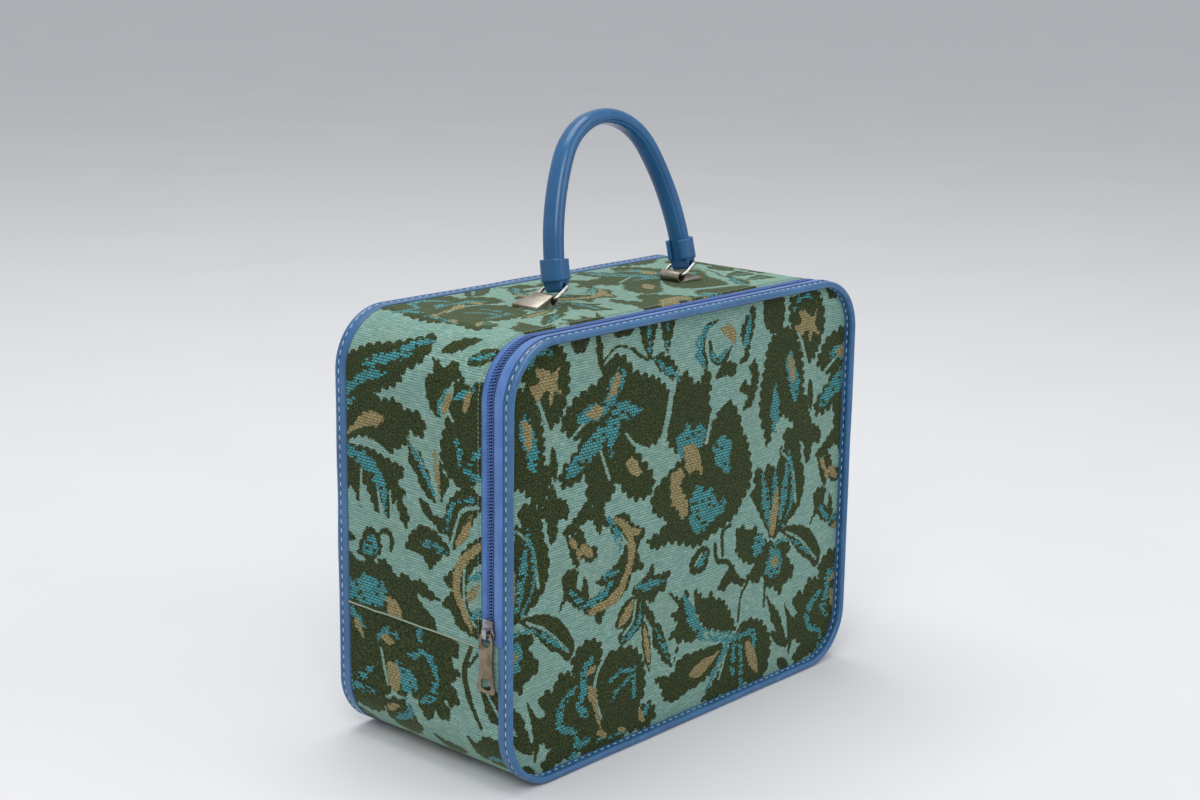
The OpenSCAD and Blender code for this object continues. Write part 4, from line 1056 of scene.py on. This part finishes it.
def set_stage():
    """Pale floor, sky and lamps."""
    floor = Finish("pale_floor")
    cloudy = floor.noise(floor.place(), 0.004, 2.0)
    shade = floor.mix(cloudy, tone(214, 214, 216), tone(220, 220, 221))
    half = 40000.0
    corners = [(x * half, y * half, -0.4) for x, y in ((-1, -1), (1, -1), (1, 1), (-1, 1))]
    finish = floor.surface({"Base Color": shade, "Roughness": 0.85})
    ground = piece("floor", corners, [[0, 1, 2, 3]], finish)
    world = bpy.data.worlds.new("studio")
    world.use_nodes = True
    sky = world.node_tree.nodes["Background"].inputs
    sky["Color"].default_value = (0.93, 0.96, 1.0, 1.0)
    sky["Strength"].default_value = 0.62
    bpy.context.scene.world = world
    add_lamp("window", (-1.9, -1.5, 2.3), 1.6, 36, (0, 0, 0.15))
    add_lamp("front_fill", (1.3, -2.3, 1.5), 1.6, 12, (0, 0, 0.15))
    add_lamp("ceiling", (0.0, 0.5, 2.6), 1.8, 34, (0, 0, 0.15))
    bpy.context.scene.view_settings.view_transform = "Standard"


# Cloth panels

def panel_grid(step, face, crown):
    """Points over a flat panel of the case, which swells a little in its middle."""
    rows = int((CASE_H - 2 * PANEL_IN) / step) + 1
    columns = int((2 * HALF_W - 2 * PANEL_IN) / step) + 1
    z = np.linspace(PANEL_IN, CASE_H - PANEL_IN, rows)
    across = np.linspace(-1, 1, columns)
    x = half_width(z, PANEL_IN)[:, None] * across[None, :]
    z = np.repeat(z[:, None], columns, 1)
    swell = (1 - (x / HALF_W) ** 2) * (1 - ((z - CASE_H / 2) / (CASE_H / 2)) ** 2)
    rim = np.minimum(HALF_W - BINDING_IN - np.abs(x), np.minimum(z, CASE_H - z) - BINDING_IN)
    tuck = 0.5 * np.exp(-np.maximum(rim, 0.0) / 1.6)
    uneven = (drift(x / 38 + 9, z / 38 + 3) - 0.5) * 0.5
    y = face + math.copysign(1.0, face) * (crown * swell + uneven * swell - tuck)
    return np.stack([x, y, z], 2)


def make_panels():
    """Front cloth, one sheet across the fold, and back cloth."""
    front = panel_grid(FRONT_STEP, FACE_Y, 0.5)
    sheet = cloth_piece("front_cloth", front, front[..., 0], front[..., 2], tiled(0, 0, -1, 1), 1)
    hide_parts("lid_cover", "front_lower_cover")
    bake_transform(sheet)
    back = panel_grid(BACK_STEP, -FACE_Y, 0.5)[:, ::-1]
    rear = cloth_piece("back_cloth", back, -back[..., 0], back[..., 2], tiled(135, 0, -1, 1), 2)
    wear(rear, "case", "weave", "back_cover")


def wall_cloth(name, t, y, inset, u, v, layout, number):
    """Cloth round the case's outline."""
    x, z = outline(t, inset)[:2]
    return cloth_piece(name, np.stack([x, y, z], 2), u, v, layout, number)


def make_walls():
    """Upper wall cloth with its rolled edge and laps, and the lower wall cloth under it."""
    lap = SEAM_LAP
    rows = int((UPPER_TO - UPPER_FROM + 2 * lap) / UPPER_STEP)
    t = np.linspace(UPPER_FROM - lap, UPPER_TO + lap, rows)
    y = np.linspace(CLOTH_EDGE_Y, WALL_END_Y, UPPER_COLUMNS)
    t, y = np.meshgrid(t, y, indexing="ij")
    rolled = 1.25 * np.exp(-((y - CLOTH_EDGE_Y) / 0.8) ** 2)
    from_end = np.minimum(t - t.min(), t.max() - t)
    seam = -0.75 * np.clip((lap + 1.5 - from_end) / 3.0, 0, 1) * np.clip((72.0 - y) / 2.5, 0, 1)
    folded = 0.5 * np.exp(-(from_end / 0.7) ** 2)
    inset = COVER_IN + rolled + seam + folded - 0.12 * drift(t / 26, y / 26)
    layout = joined(SIDE, tiled(60, 300, 0, 1))
    upper = wall_cloth("upper_wall_cloth", t, y, inset, -y, t - UPPER_FROM + FOLD_Z, layout, 3)
    wear(upper, "case", "weave", "gusset_upper_cover")
    rows = int((UPPER_FROM + LOOP - UPPER_TO) / LOWER_STEP)
    t = np.linspace(UPPER_TO, UPPER_FROM + LOOP, rows)
    y = np.linspace(-WALL_END_Y, WALL_END_Y, LOWER_COLUMNS)
    t, y = np.meshgrid(t, y, indexing="ij")
    inset = COVER_IN + 0.1 - 0.12 * drift(t / 26 + 7, y / 26)
    left = UPPER_FROM + LOOP - t
    low_side = joined(LOW_SIDE, tiled(40, 0, -2, -1))
    lower = wall_cloth("lower_wall_cloth", t, y, inset, -y, FOLD_Z - left, low_side, 4)
    wear(lower, "case", "weave", "gusset_lower_cover")


# Bound rims with their stitching

RIM_SECTION = [
    (1.1, -70.4), (0.4, -70.8), (0.05, -71.7), (-0.02, -73.6), (0.02, -75.4), (0.14, -76.7), (0.5, -77.5),
    (0.12, -78.2), (-0.2, -79.0), (-0.16, -79.9), (0.3, -80.9), (1.2, -81.5), (2.3, -81.6), (3.4, -81.2),
    (4.2, -80.4), (4.5, -79.2), (4.4, -77.8), (4.05, -76.6), (4.3, -75.6), (4.45, -74.6), (4.4, -73.8),
]
OUTER_SEAM = (0.42, -77.5)
INNER_SEAM = (4.16, -76.6)


def rim_piece(name, back):
    """Binding folded over an edge of the case, puckered by its stitches."""
    section = smooth_line(RIM_SECTION, 2)
    t = np.linspace(0, LOOP, RIM_STEPS, endpoint=False)
    tt = np.repeat(t[:, None], len(section), 1)
    inset = np.repeat(section[None, :, 0], len(t), 0)
    y = np.repeat(section[None, :, 1], len(t), 0)
    near_seam = np.exp(-((y - RIM_SEAM_Y) / 1.0) ** 2) * np.where(inset < 2.0, 1.0, -1.0)
    pucker = 0.1 * np.cos(2 * np.pi * tt / STITCH_PITCH) * near_seam
    wave = (drift(tt / 31 + (40 if back else 0), y * 0 + 5) - 0.5) * 0.5
    lean = (drift(tt / 47 + 11, y * 0 + (2 if back else 9)) - 0.5) * 0.5
    inset = inset + pucker + wave * np.clip((-74.0 - y) / 6, 0, 1)
    y = y + lean * np.clip((-75.0 - y) / 6, 0, 1)
    # Scuffed lighter on the outer fold; painted shade along the seam and at the edge that lies on the
    # cloth
    across = section[:, 1]
    ridge_wear_and_shade = np.clip((-79.3 - across) / 2.0, 0, 1) - np.exp(-((across - RIM_SEAM_Y) / 0.7) ** 2)
    ridge_wear_and_shade = ridge_wear_and_shade - np.exp(-((across + 70.6) / 0.6) ** 2)
    x, z = outline(tt, inset)[:2]
    points = np.stack([x, -y if back else y, z], 2)
    faces = grid_faces(len(t), len(section), close_rows=True)
    if back:
        faces = faces[:, ::-1]
    return piece(name, points, faces, BINDING, {"wear_and_shade": np.repeat(ridge_wear_and_shade[None, :], len(t), 0)})


def stitch_points(middle, along, side, out, length, radius):
    """Rows of stitches: short threads that dip into the seam at both ends."""
    s = np.linspace(-1, 1, STITCH_STEPS)
    ring = np.linspace(0, 2 * np.pi, STITCH_SIDES, endpoint=False)
    thick = radius * np.sqrt(np.maximum(1 - (np.abs(s) * 0.97) ** 4, 0.05))
    lift = radius * (0.55 - 1.1 * np.abs(s) ** 3)
    a = (s * length / 2)[:, None] + 0 * ring[None, :]
    b = thick[:, None] * np.cos(ring)[None, :] + (0.03 * length * s)[:, None]
    c = lift[:, None] + 0.75 * thick[:, None] * np.sin(ring)[None, :]
    points = np.zeros((len(middle), STITCH_STEPS, STITCH_SIDES, 3))
    for amount, direction in ((a, along), (b, side), (c, out)):
        points += amount[None, :, :, None] * direction[:, None, None, :]
    points += middle[:, None, None, :]
    return points.reshape(-1, 3), tube_faces(len(middle), STITCH_STEPS, STITCH_SIDES)


def stitch_row(t, inset, y, face_out, length, radius):
    """Stitches round the case's outline."""
    x, z, out_x, out_z = outline(t, inset)
    flat = np.zeros_like(x)
    middle = np.stack([x, flat + y, z], 1)
    out = np.stack([out_x, flat, out_z], 1) * face_out
    along = np.stack([out_z, flat, -out_x], 1)
    side = np.stack([flat, flat + 1.0, flat], 1)
    return stitch_points(middle, along, side, out, length, radius)


def thread_piece(name, rows, finish):
    """Rows of stitches as one piece."""
    points = []
    faces = []
    count = 0
    for row_points, row_faces in rows:
        points.append(row_points)
        faces.append(row_faces + count)
        count += len(row_points)
    return piece(name, np.vstack(points), np.vstack(faces), finish)


def make_rims():
    """Both bindings and their stitches."""
    t = np.arange(0, LOOP - STITCH_PITCH / 2, LOOP / round(LOOP / STITCH_PITCH))
    front = rim_piece("front_binding", False)
    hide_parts("lid_binding", "front_lower_binding")
    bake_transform(front)
    rows = [stitch_row(t + 3.2, OUTER_SEAM[0], OUTER_SEAM[1], 1, 3.9, 0.42),
            stitch_row(t, INNER_SEAM[0], INNER_SEAM[1], -1, 3.6, 0.36)]
    front_thread = thread_piece("front_binding_stitches", rows, THREAD)
    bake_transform(front_thread)
    back = rim_piece("rear_binding", True)
    wear(back, "case", "binding", "back_binding")
    rows = [stitch_row(t + 1.1, OUTER_SEAM[0], -OUTER_SEAM[1], 1, 3.9, 0.42),
            stitch_row(t, INNER_SEAM[0], -INNER_SEAM[1], -1, 3.6, 0.36)]
    back_thread = thread_piece("rear_binding_stitches", rows, THREAD)
    wear(back_thread, "case", "binding")


def make_seams():
    """Thread along the wall cloth's edge at the zip, and the rolled edge of the lapped cross seams."""
    t = np.arange(UPPER_FROM, UPPER_TO, 3.0)
    row = stitch_row(t, COVER_IN - 0.1, CLOTH_EDGE_Y + 1.5, 1, 2.2, 0.26)
    edge = thread_piece("wall_edge_stitches", [row], SEAM_THREAD)
    wear(edge, "case", "weave")
    y = np.linspace(CLOTH_EDGE_Y + 0.5, 70.9, ROLL_STEPS)
    ring = np.linspace(0, 2 * np.pi, ROLL_SIDES, endpoint=False)
    for side, t in (("left", UPPER_FROM - SEAM_LAP), ("right", UPPER_TO + SEAM_LAP)):
        down = 1.0 if side == "right" else -1.0
        wave = 0.16 * np.cos(y * 2.6)[:, None]
        tt = t + down * (0.65 * np.cos(ring)[None, :] + 0.5 * drift(y / 9, y * 0)[:, None])
        inset = 0.2 - 0.55 * np.sin(ring)[None, :] - wave
        x, z, out_x, out_z = outline(tt + 0 * inset, 0.0)
        yy = np.repeat(y[:, None], ROLL_SIDES, 1)
        points = np.stack([x - out_x * inset, yy, z - out_z * inset], 2)
        faces = grid_faces(ROLL_STEPS, ROLL_SIDES, close_columns=True)
        wear(piece("cross_seam_roll_" + side, points, faces, SEAM_THREAD), "case", "weave")


# Zip

def tape_strip(name, t, section):
    """One tape of the zip, from its section."""
    line = smooth_line(section, 4)
    tt = np.repeat(t[:, None], len(line), 1)
    inset = np.repeat(line[None, :, 0], len(t), 0)
    y = np.repeat(line[None, :, 1], len(t), 0)
    x, z = outline(tt, inset)[:2]
    place = np.stack([y, tt, np.full(y.shape, 300.0)], 2)
    points = np.stack([x, y, z], 2)
    return piece(name, points, grid_faces(len(t), len(line)), TAPE, None, {"thread_place": place})


def coil_turns(name, t, mirror):
    """One half of the zip's coil: a bent turn of nylon at each place."""
    path = smooth_line([
        (-0.62, 2.78, 0.05), (-0.58, 2.8, 0.8), (-0.35, 2.45, 1.34), (0.0, 1.6, 1.46), (0.35, 0.75, 1.44),
        (0.56, 0.2, 1.2), (0.55, 0.1, 0.6), (0.45, 0.4, 0.15),
    ], 2)
    ring = np.linspace(0, 2 * np.pi, COIL_SIDES, endpoint=False)
    along = path[:, None, 0] + 0.5 * np.cos(ring)[None, :]
    reach = path[:, None, 1:] + 0 * ring[None, :, None]
    run = np.gradient(path[:, 1:], axis=0)
    run = run / np.maximum(np.hypot(run[:, 0], run[:, 1]), 1e-6)[:, None]
    across = np.stack([-run[:, 1], run[:, 0]], 1)
    reach = reach + 0.36 * np.sin(ring)[None, :, None] * across[:, None, :]
    tt = t[:, None, None] + along[None] * mirror
    x, z, out_x, out_z = outline(tt, 0.0)
    inset = TAPE_IN - np.repeat(reach[None, :, :, 1], len(t), 0)
    x = x - out_x * inset
    z = z - out_z * inset
    y = ZIP_Y + mirror * np.repeat(reach[None, :, :, 0], len(t), 0)
    points = np.stack([x, y, z], 3)
    faces = tube_faces(len(t), len(path), COIL_SIDES)
    # Height above the tape, which the coil's finish turns into painted shade in the hollows
    crown = np.clip((TAPE_IN - inset - 0.7) / 1.0, 0, 1)
    return piece(name, points, faces, NYLON, {"crown": crown})


def make_zip():
    """Tapes and coil halves."""
    t = np.linspace(UPPER_FROM, UPPER_TO, TAPE_STEPS)
    body = tape_strip("zip_tape_on_body", t, [
        (2.25, ZIP_Y + 0.5), (2.0, ZIP_Y + 0.9), (1.98, ZIP_Y + 3.0), (1.95, CLOTH_EDGE_Y), (2.0, -53.0),
        (2.0, TAPE_END_Y),
    ])
    wear(body, "case", "tape", "zip_tape_body")
    t = np.linspace(UPPER_FROM + 0.3, UPPER_TO - 0.3, TAPE_STEPS)
    lid = tape_strip("zip_tape_on_lid", t, [
        (-0.1, -75.5), (-0.45, -75.2), (-0.55, -74.0), (-0.5, -72.2), (-0.2, -70.4), (0.35, -68.6),
        (1.05, -66.9), (1.75, -65.6), (2.0, -64.6), (2.25, ZIP_Y - 0.5),
    ])
    wear(lid, "lid", "tape", "zip_tape_lid")
    turns = np.arange(UPPER_FROM + 3.0, UPPER_TO - 3.0, COIL_PITCH)
    for name, body_name, node, shift, mirror in (
        ("zip_coil_on_body", "case", "zip_coil_body", 0.0, 1),
        ("zip_coil_on_lid", "lid", "zip_coil_lid", 0.5, -1),
    ):
        coil = coil_turns(name, turns + shift * COIL_PITCH, mirror)
        wear(coil, body_name, "coil", node)


# Metal pieces

def shaded(name, mesh, finish, angle):
    """A mesh as a piece, smooth but for its sharp edges."""
    mesh.materials.append(finish)
    mesh.shade_smooth()
    mesh.set_sharp_from_angle(angle=angle)
    made = bpy.data.objects.new(name, mesh)
    bpy.context.scene.collection.objects.link(made)
    return made


def rounded_copy(name, node, finish, width):
    """A node's own shape with its sharp edges rounded off."""
    work = bmesh.new()
    work.from_mesh(nodes[node].data)
    bmesh.ops.remove_doubles(work, verts=work.verts, dist=SAME_POINT)
    bmesh.ops.dissolve_limit(work, angle_limit=0.02, verts=work.verts, edges=work.edges)
    sharp = [e for e in work.edges if len(e.link_faces) == 2 and e.calc_face_angle(0.0) > 0.6]
    bmesh.ops.bevel(work, geom=sharp, offset=width * MM, segments=2, profile=0.5, affect="EDGES",
                    clamp_overlap=True)
    bmesh.ops.dissolve_degenerate(work, dist=NO_AREA, edges=work.edges)
    mesh = bpy.data.meshes.new(name)
    work.to_mesh(mesh)
    work.free()
    return shaded(name, mesh, finish, 0.9)


def make_metal():
    """Clips, the plates and rivets behind them, and the zip's slider, in their rounded shapes."""
    for name, node, finish, width, body, slot in (
        ("folded_clip_left", "clip_left", NICKEL, 0.35, "case", "nickel"),
        ("inner_plate_left", "backing_plate_left", NICKEL, 0.3, "case", "plain_steel"),
        ("folded_clip_right", "clip_right", NICKEL, 0.35, "case", "nickel"),
        ("inner_plate_right", "backing_plate_right", NICKEL, 0.3, "case", "plain_steel"),
        ("rivets", "clip_rivets", NICKEL, 0.4, "case", "plain_steel"),
        ("slider", "zip_slider", STEEL, 0.3, "slider", "zip_metal"),
    ):
        wear(rounded_copy(name, node, finish, width), body, slot, node)


# Rings and handle

LEANING = Matrix.Translation((0, 0, TUBE_Z)) @ Matrix.Rotation(math.radians(-LEAN_BACK), 4, "X")
SHIFT = RING_LEN * math.sin(math.radians(RING_LEAN))
RISE = RING_LEN * math.cos(math.radians(RING_LEAN))
HANDLE_PLACE = LEANING @ Matrix.Translation((SHIFT, 0, RISE))


def put(matrix, points):
    """Points moved by a matrix."""
    m = np.array(matrix)
    return np.asarray(points, float).reshape(-1, 3) @ m[:3, :3].T + m[:3, 3]


def make_ring(side, x):
    """Wire ring that leans in its clip."""
    flat = RING_HALF_W - RING_BEND
    corners = [(flat, RING_BEND, -90), (flat, RING_LEN - RING_BEND, 0),
               (-flat, RING_LEN - RING_BEND, 90), (-flat, RING_BEND, 180)]
    line = []
    for y, z, begin in corners:
        for a in np.linspace(begin, begin + 90, 9):
            bend = math.radians(a)
            line.append((y + RING_BEND * math.cos(bend), z + RING_BEND * math.sin(bend)))
    line = np.array(line)
    run = np.roll(line, -1, 0) - np.roll(line, 1, 0)
    run = run / np.hypot(run[:, 0], run[:, 1])[:, None]
    ring = np.linspace(0, 2 * np.pi, WIRE_SIDES, endpoint=False)
    points = np.zeros((len(line), WIRE_SIDES, 3))
    points[..., 0] = WIRE_R * np.cos(ring)[None, :]
    points[..., 1] = line[:, None, 0] + WIRE_R * np.sin(ring)[None, :] * run[:, None, 1]
    points[..., 2] = line[:, None, 1] - WIRE_R * np.sin(ring)[None, :] * run[:, None, 0]
    spot = LEANING @ Matrix.Translation((x, 0, 0)) @ Matrix.Rotation(math.radians(RING_LEAN), 4, "Y")
    faces = grid_faces(len(line), WIRE_SIDES, close_rows=True, close_columns=True)
    made = piece("wire_ring_" + side, put(spot, points), faces, WIRE)
    wear(made, side + "_ring", "nickel", "ring_" + side)


def arch_line(start, count):
    """Points and outward directions along the arch, starting so high above each ring's bar."""
    first = math.degrees(math.asin(start / LEG_R))
    legs = np.linspace(first, LEG_TURN, count)
    top = np.linspace(LEG_TURN, 180 - LEG_TURN, 2 * count)[1:-1]
    spots = []
    for a in legs:
        spots.append((HALF_SPAN - LEG_R, 0.0, LEG_R, a))
    for a in top:
        spots.append((0.0, ARCH_H - ARCH_TOP_R, ARCH_TOP_R, a))
    for a in legs[::-1]:
        spots.append((LEG_R - HALF_SPAN, 0.0, LEG_R, 180 - a))
    s = np.array(spots)
    turn = np.radians(s[:, 3])
    out = np.stack([np.cos(turn), np.sin(turn)], 1)
    return s[:, :2] + s[:, 2:3] * out, out


def oval(a, b, power, count):
    """Angles and points round an oval; a higher power squares it."""
    turn = np.linspace(0, 2 * np.pi, count, endpoint=False)
    c, s = np.cos(turn), np.sin(turn)
    right = a * np.sign(c) * np.abs(c) ** (2 / power)
    up = b * np.sign(s) * np.abs(s) ** (2 / power)
    return turn, np.stack([right, up], 1)


def swept(line, out, section):
    """A section, given as [outward, front to back], carried along a line in the handle's plane."""
    points = np.zeros((len(line), section.shape[-2], 3))
    wide = np.broadcast_to(section, (len(line),) + section.shape[-2:])
    points[..., 0] = line[:, None, 0] + out[:, None, 0] * wide[..., 0]
    points[..., 2] = line[:, None, 1] + out[:, None, 1] * wide[..., 0]
    points[..., 1] = wide[..., 1]
    return points


def make_grip():
    """Grip with its seam grooves, flattened towards the strap ends."""
    line, out = arch_line(4.0, 46)
    turn, section = oval(GRIP_T / 2, GRIP_W / 2, 2.4, GRIP_SIDES)
    degrees = np.degrees(turn)
    groove = np.zeros(len(turn))
    for angle, depth, spread in ((122, 0.8, 5.0), (238, 0.8, 5.0), (180, 0.5, 30.0)):
        groove += depth * np.exp(-((degrees - angle) / spread) ** 2)
    middle = section * (1 - groove / np.hypot(section[:, 0], section[:, 1]))[:, None]
    travel = np.linspace(0, 1, len(line))
    foot = np.minimum(travel, 1 - travel)
    flatten = np.clip(1 - foot / 0.05, 0, 1)[:, None]
    sections = np.repeat(middle[None], len(line), 0)
    sections[..., 0] *= 1 - 0.1 * flatten
    sections *= (1 + 0.025 * (drift(travel * 30, travel * 0 + 1) - 0.5))[:, None, None]
    # Slight wear all over; painted shade in the seam grooves and on the inner face
    wear_and_shade = np.repeat((0.3 - 1.2 * groove)[None], len(line), 0)
    points = put(HANDLE_PLACE, swept(line, out, sections))
    faces = grid_faces(len(line), GRIP_SIDES, close_columns=True)
    grip = piece("grip", points, faces, GRIP, {"wear_and_shade": wear_and_shade})
    wear(grip, "handle", "grip", "handle_cover")


def ellipse(x, y, half_x, half_y, power, count):
    """The outline of a hole."""
    return [(x + p[0], y + p[1]) for p in oval(half_x, half_y, power, count)[1]]


def plate(outlines, half, rounding):
    """Points and faces of a plate with rounded edges; the outlines after the first are holes."""
    curve = bpy.data.curves.new("plate", "CURVE")
    curve.dimensions = "2D"
    curve.fill_mode = "BOTH"
    for points in outlines:
        spline = curve.splines.new("POLY")
        spline.points.add(len(points) - 1)
        for held, point in zip(spline.points, points):
            held.co = (point[0], point[1], 0, 1)
        spline.use_cyclic_u = True
    curve.extrude = half - rounding
    curve.bevel_depth = rounding
    curve.bevel_resolution = 3
    curve.offset = -rounding
    helper = bpy.data.objects.new("plate", curve)
    bpy.context.scene.collection.objects.link(helper)
    bpy.context.view_layer.update()
    mesh = bpy.data.meshes.new_from_object(helper.evaluated_get(bpy.context.evaluated_depsgraph_get()))
    points = np.array([corner.co for corner in mesh.vertices])
    faces = [list(face.vertices) for face in mesh.polygons]
    bpy.data.objects.remove(helper)
    bpy.data.curves.remove(curve)
    bpy.data.meshes.remove(mesh)
    return points, faces


def plate_piece(name, points, faces, finish):
    """A piece from a plate, with doubled points joined."""
    mesh = bpy.data.meshes.new(name)
    mesh.from_pydata((np.asarray(points) * MM).tolist(), [], faces)
    work = bmesh.new()
    work.from_mesh(mesh)
    bmesh.ops.remove_doubles(work, verts=work.verts, dist=SAME_POINT)
    bmesh.ops.recalc_face_normals(work, faces=work.faces)
    work.to_mesh(mesh)
    work.free()
    return shaded(name, mesh, finish, 0.7)


def make_loop(side, x):
    """The grip's strap end, folded round the ring's bar with room under it."""
    turn = np.radians(np.linspace(0, -180, 19))
    edge = [(5.1, 5.6), (4.8, 3.6), (4.2, 0.8)]
    edge += [(3.7 * math.cos(a), 3.3 * math.sin(a) - 1.0) for a in turn]
    edge += [(-4.2, 0.8), (-4.8, 3.6), (-5.1, 5.6)]
    edge = smooth_line(edge, 2).tolist()
    points, faces = plate([edge, ellipse(0, -0.5, 1.75, 2.3, 2.3, 28)], 7.9, 0.7)
    points = np.stack([points[:, 0] + x, -points[:, 2], points[:, 1]], 1)
    made = plate_piece("strap_loop_" + side, put(HANDLE_PLACE, points), faces, GRIP)
    wear(made, "handle", "grip")


def make_tab():
    """Pull tab: ring end, slim middle, and a broad foot with a rounded hole."""
    half = [(3.4, 0.0), (5.2, -2.2), (6.0, -5.6), (5.7, -10.0), (5.3, -14.0), (5.35, -20.0), (5.9, -26.0),
            (6.9, -31.0), (7.75, -35.6), (7.7, -37.8), (6.6, -39.4), (4.0, -39.9)]
    edge = [(0.0, 0.75)] + half + [(0.0, -40.0)] + [(-p[0], p[1]) for p in half[::-1]]
    edge = smooth_line(edge + edge[:1], 4)[:-1].tolist()
    holes = [ellipse(0, -4.7, 3.9, 4.3, 2.6, 36), ellipse(0, -34.0, 4.5, 3.7, 3.0, 36)]
    points, faces = plate([edge] + holes, 0.6, 0.25)
    points = np.stack([points[:, 2] + TAB_X, points[:, 0] + ZIP_Y, points[:, 1] + TAB_Z], 1)
    made = plate_piece("pull_tab", points, faces, TAB_METAL)
    wear(made, "pull_tab", "zip_metal", "zip_pull_tab")


def make_keeper(side):
    """Collar over the strap, split along its inner face."""
    line, out = arch_line(KEEPER_FROM, 60)
    if side == "left":
        line, out = line[::-1], out[::-1]
    height = line[:, 1]
    keep = (height < KEEPER_TO) & (np.sign(line[:, 0]) == (1 if side == "right" else -1))
    line, out = line[keep], out[keep]
    line = np.vstack([[line[0]], np.linspace(line[0], line[-1], KEEPER_STEPS), [line[-1]]])
    out = np.vstack([[out[0]], np.linspace(out[0], out[-1], KEEPER_STEPS), [out[-1]]])
    # The ends of this turn are the edges of the split
    turn = np.radians(np.linspace(-163, 163, KEEPER_SIDES))
    c, s = np.cos(turn), np.sin(turn)
    rim = np.stack([np.sign(c) * np.abs(c) ** (2 / 3.4), np.sign(s) * np.abs(s) ** (2 / 3.4)], 1)
    outer = rim * np.array([GRIP_T / 2 + KEEPER_OUT, GRIP_W / 2 + KEEPER_OUT])
    inner = rim * np.array([GRIP_T / 2 + KEEPER_IN, GRIP_W / 2 + KEEPER_IN])
    mid = (outer + inner) / 2
    flare = np.clip(np.abs(np.linspace(-1, 1, len(line))) * 8 - 7, 0, 1) * 0.5
    rings = []
    for k in range(len(line)):
        shrink = flare[k] if k in (1, len(line) - 2) else (1.0 if k in (0, len(line) - 1) else 0.0)
        outside = outer + (mid - outer) * shrink
        inside = inner + (mid - inner) * shrink
        rings.append(np.vstack([outside, [mid[-1]], inside[::-1], [mid[0]]]))
    points = put(HANDLE_PLACE, swept(line, out, np.array(rings)))
    columns = len(rings[0])
    faces = grid_faces(len(line), columns, close_columns=True)
    wear_and_shade = np.zeros((len(line), columns))
    wear_and_shade[[0, 1, -2, -1]] = 0.9
    made = piece("keeper_band_" + side, points, faces, GRIP, {"wear_and_shade": wear_and_shade})
    weld(made.data)
    wear(made, "handle", "grip", "keeper_" + side)


# Inside

def inside_wall(t, y0, y1, columns):
    """Lining on the inside of the wall, a little loose."""
    y = np.linspace(y0, y1, columns)
    t, y = np.meshgrid(t, y, indexing="ij")
    pull = 0.5 * drift(t / 22, y / 40) + 0.3 * drift(t / 7, y / 60)
    x, z = outline(t, ROOM_IN - 0.4 + pull)[:2]
    return np.stack([x, y, z], 2)


def inside_panel(z0, z1, inset, y, inward):
    """Lining on the inside of a flat panel, a little loose."""
    rows = int((z1 - z0) / 4) + 2
    z = np.linspace(z0, z1, rows)
    x = half_width(z, inset)[:, None] * np.linspace(-1, 1, LINING_COLUMNS)[None, :]
    z = np.repeat(z[:, None], LINING_COLUMNS, 1)
    pull = 0.5 * drift(x / 30 + 5, z / 30) + 0.25 * drift(x / 8, z / 40)
    return np.stack([x, y + inward * (pull - 0.4), z], 2)


def lining_sheet(name, grid, node, body):
    """A lining sheet in place of a solid."""
    made = piece(name, grid.reshape(-1, 3), grid_faces(grid.shape[0], grid.shape[1]), LINING)
    wear(made, body, "lining", node)


def make_inside():
    """All linings."""
    upper = np.linspace(UPPER_FROM, UPPER_TO, 240)
    lower = np.linspace(UPPER_TO, UPPER_FROM + LOOP, 180)
    walls = inside_wall(upper, TAPE_END_Y, -ROOM_Y, 40)
    lining_sheet("upper_wall_lining", walls, "body_lining", "case")
    walls = inside_wall(lower, ROOM_Y, -ROOM_Y, 46)
    lining_sheet("lower_wall_lining", walls, "body_lining", "case")
    panel = inside_panel(ROOM_IN, CASE_H - ROOM_IN, ROOM_IN, -ROOM_Y, -1)
    lining_sheet("back_lining", panel, "body_lining", "case")
    panel = inside_panel(ROOM_IN, FOLD_Z, ROOM_IN, ROOM_Y, 1)
    lining_sheet("front_lining", panel, "front_lower_lining", "case")
    panel = inside_panel(FOLD_Z + 0.3, CASE_H - LID_LINING_IN, LID_LINING_IN, ROOM_Y, 1)
    lining_sheet("lid_lining_cloth", panel, "lid_lining", "lid")


def dress_nodes():
    """Finishes for the part's own solids that stay in view or lie hidden in the walls."""
    boards = ("gusset_upper_board", "gusset_lower_board", "back_board", "front_lower_board", "lid_board")
    for name in boards + ("handle_core",):
        mesh = nodes[name].data
        mesh.materials.clear()
        mesh.materials.append(BOARD if name in boards else CORD)


set_camera()
set_stage()
make_panels()
make_walls()
make_rims()
make_seams()
make_zip()
make_metal()
for side, x in (("left", -HALF_SPAN), ("right", HALF_SPAN)):
    make_ring(side, x)
    make_loop(side, x)
    make_keeper(side)
make_grip()
make_tab()
make_inside()
dress_nodes()
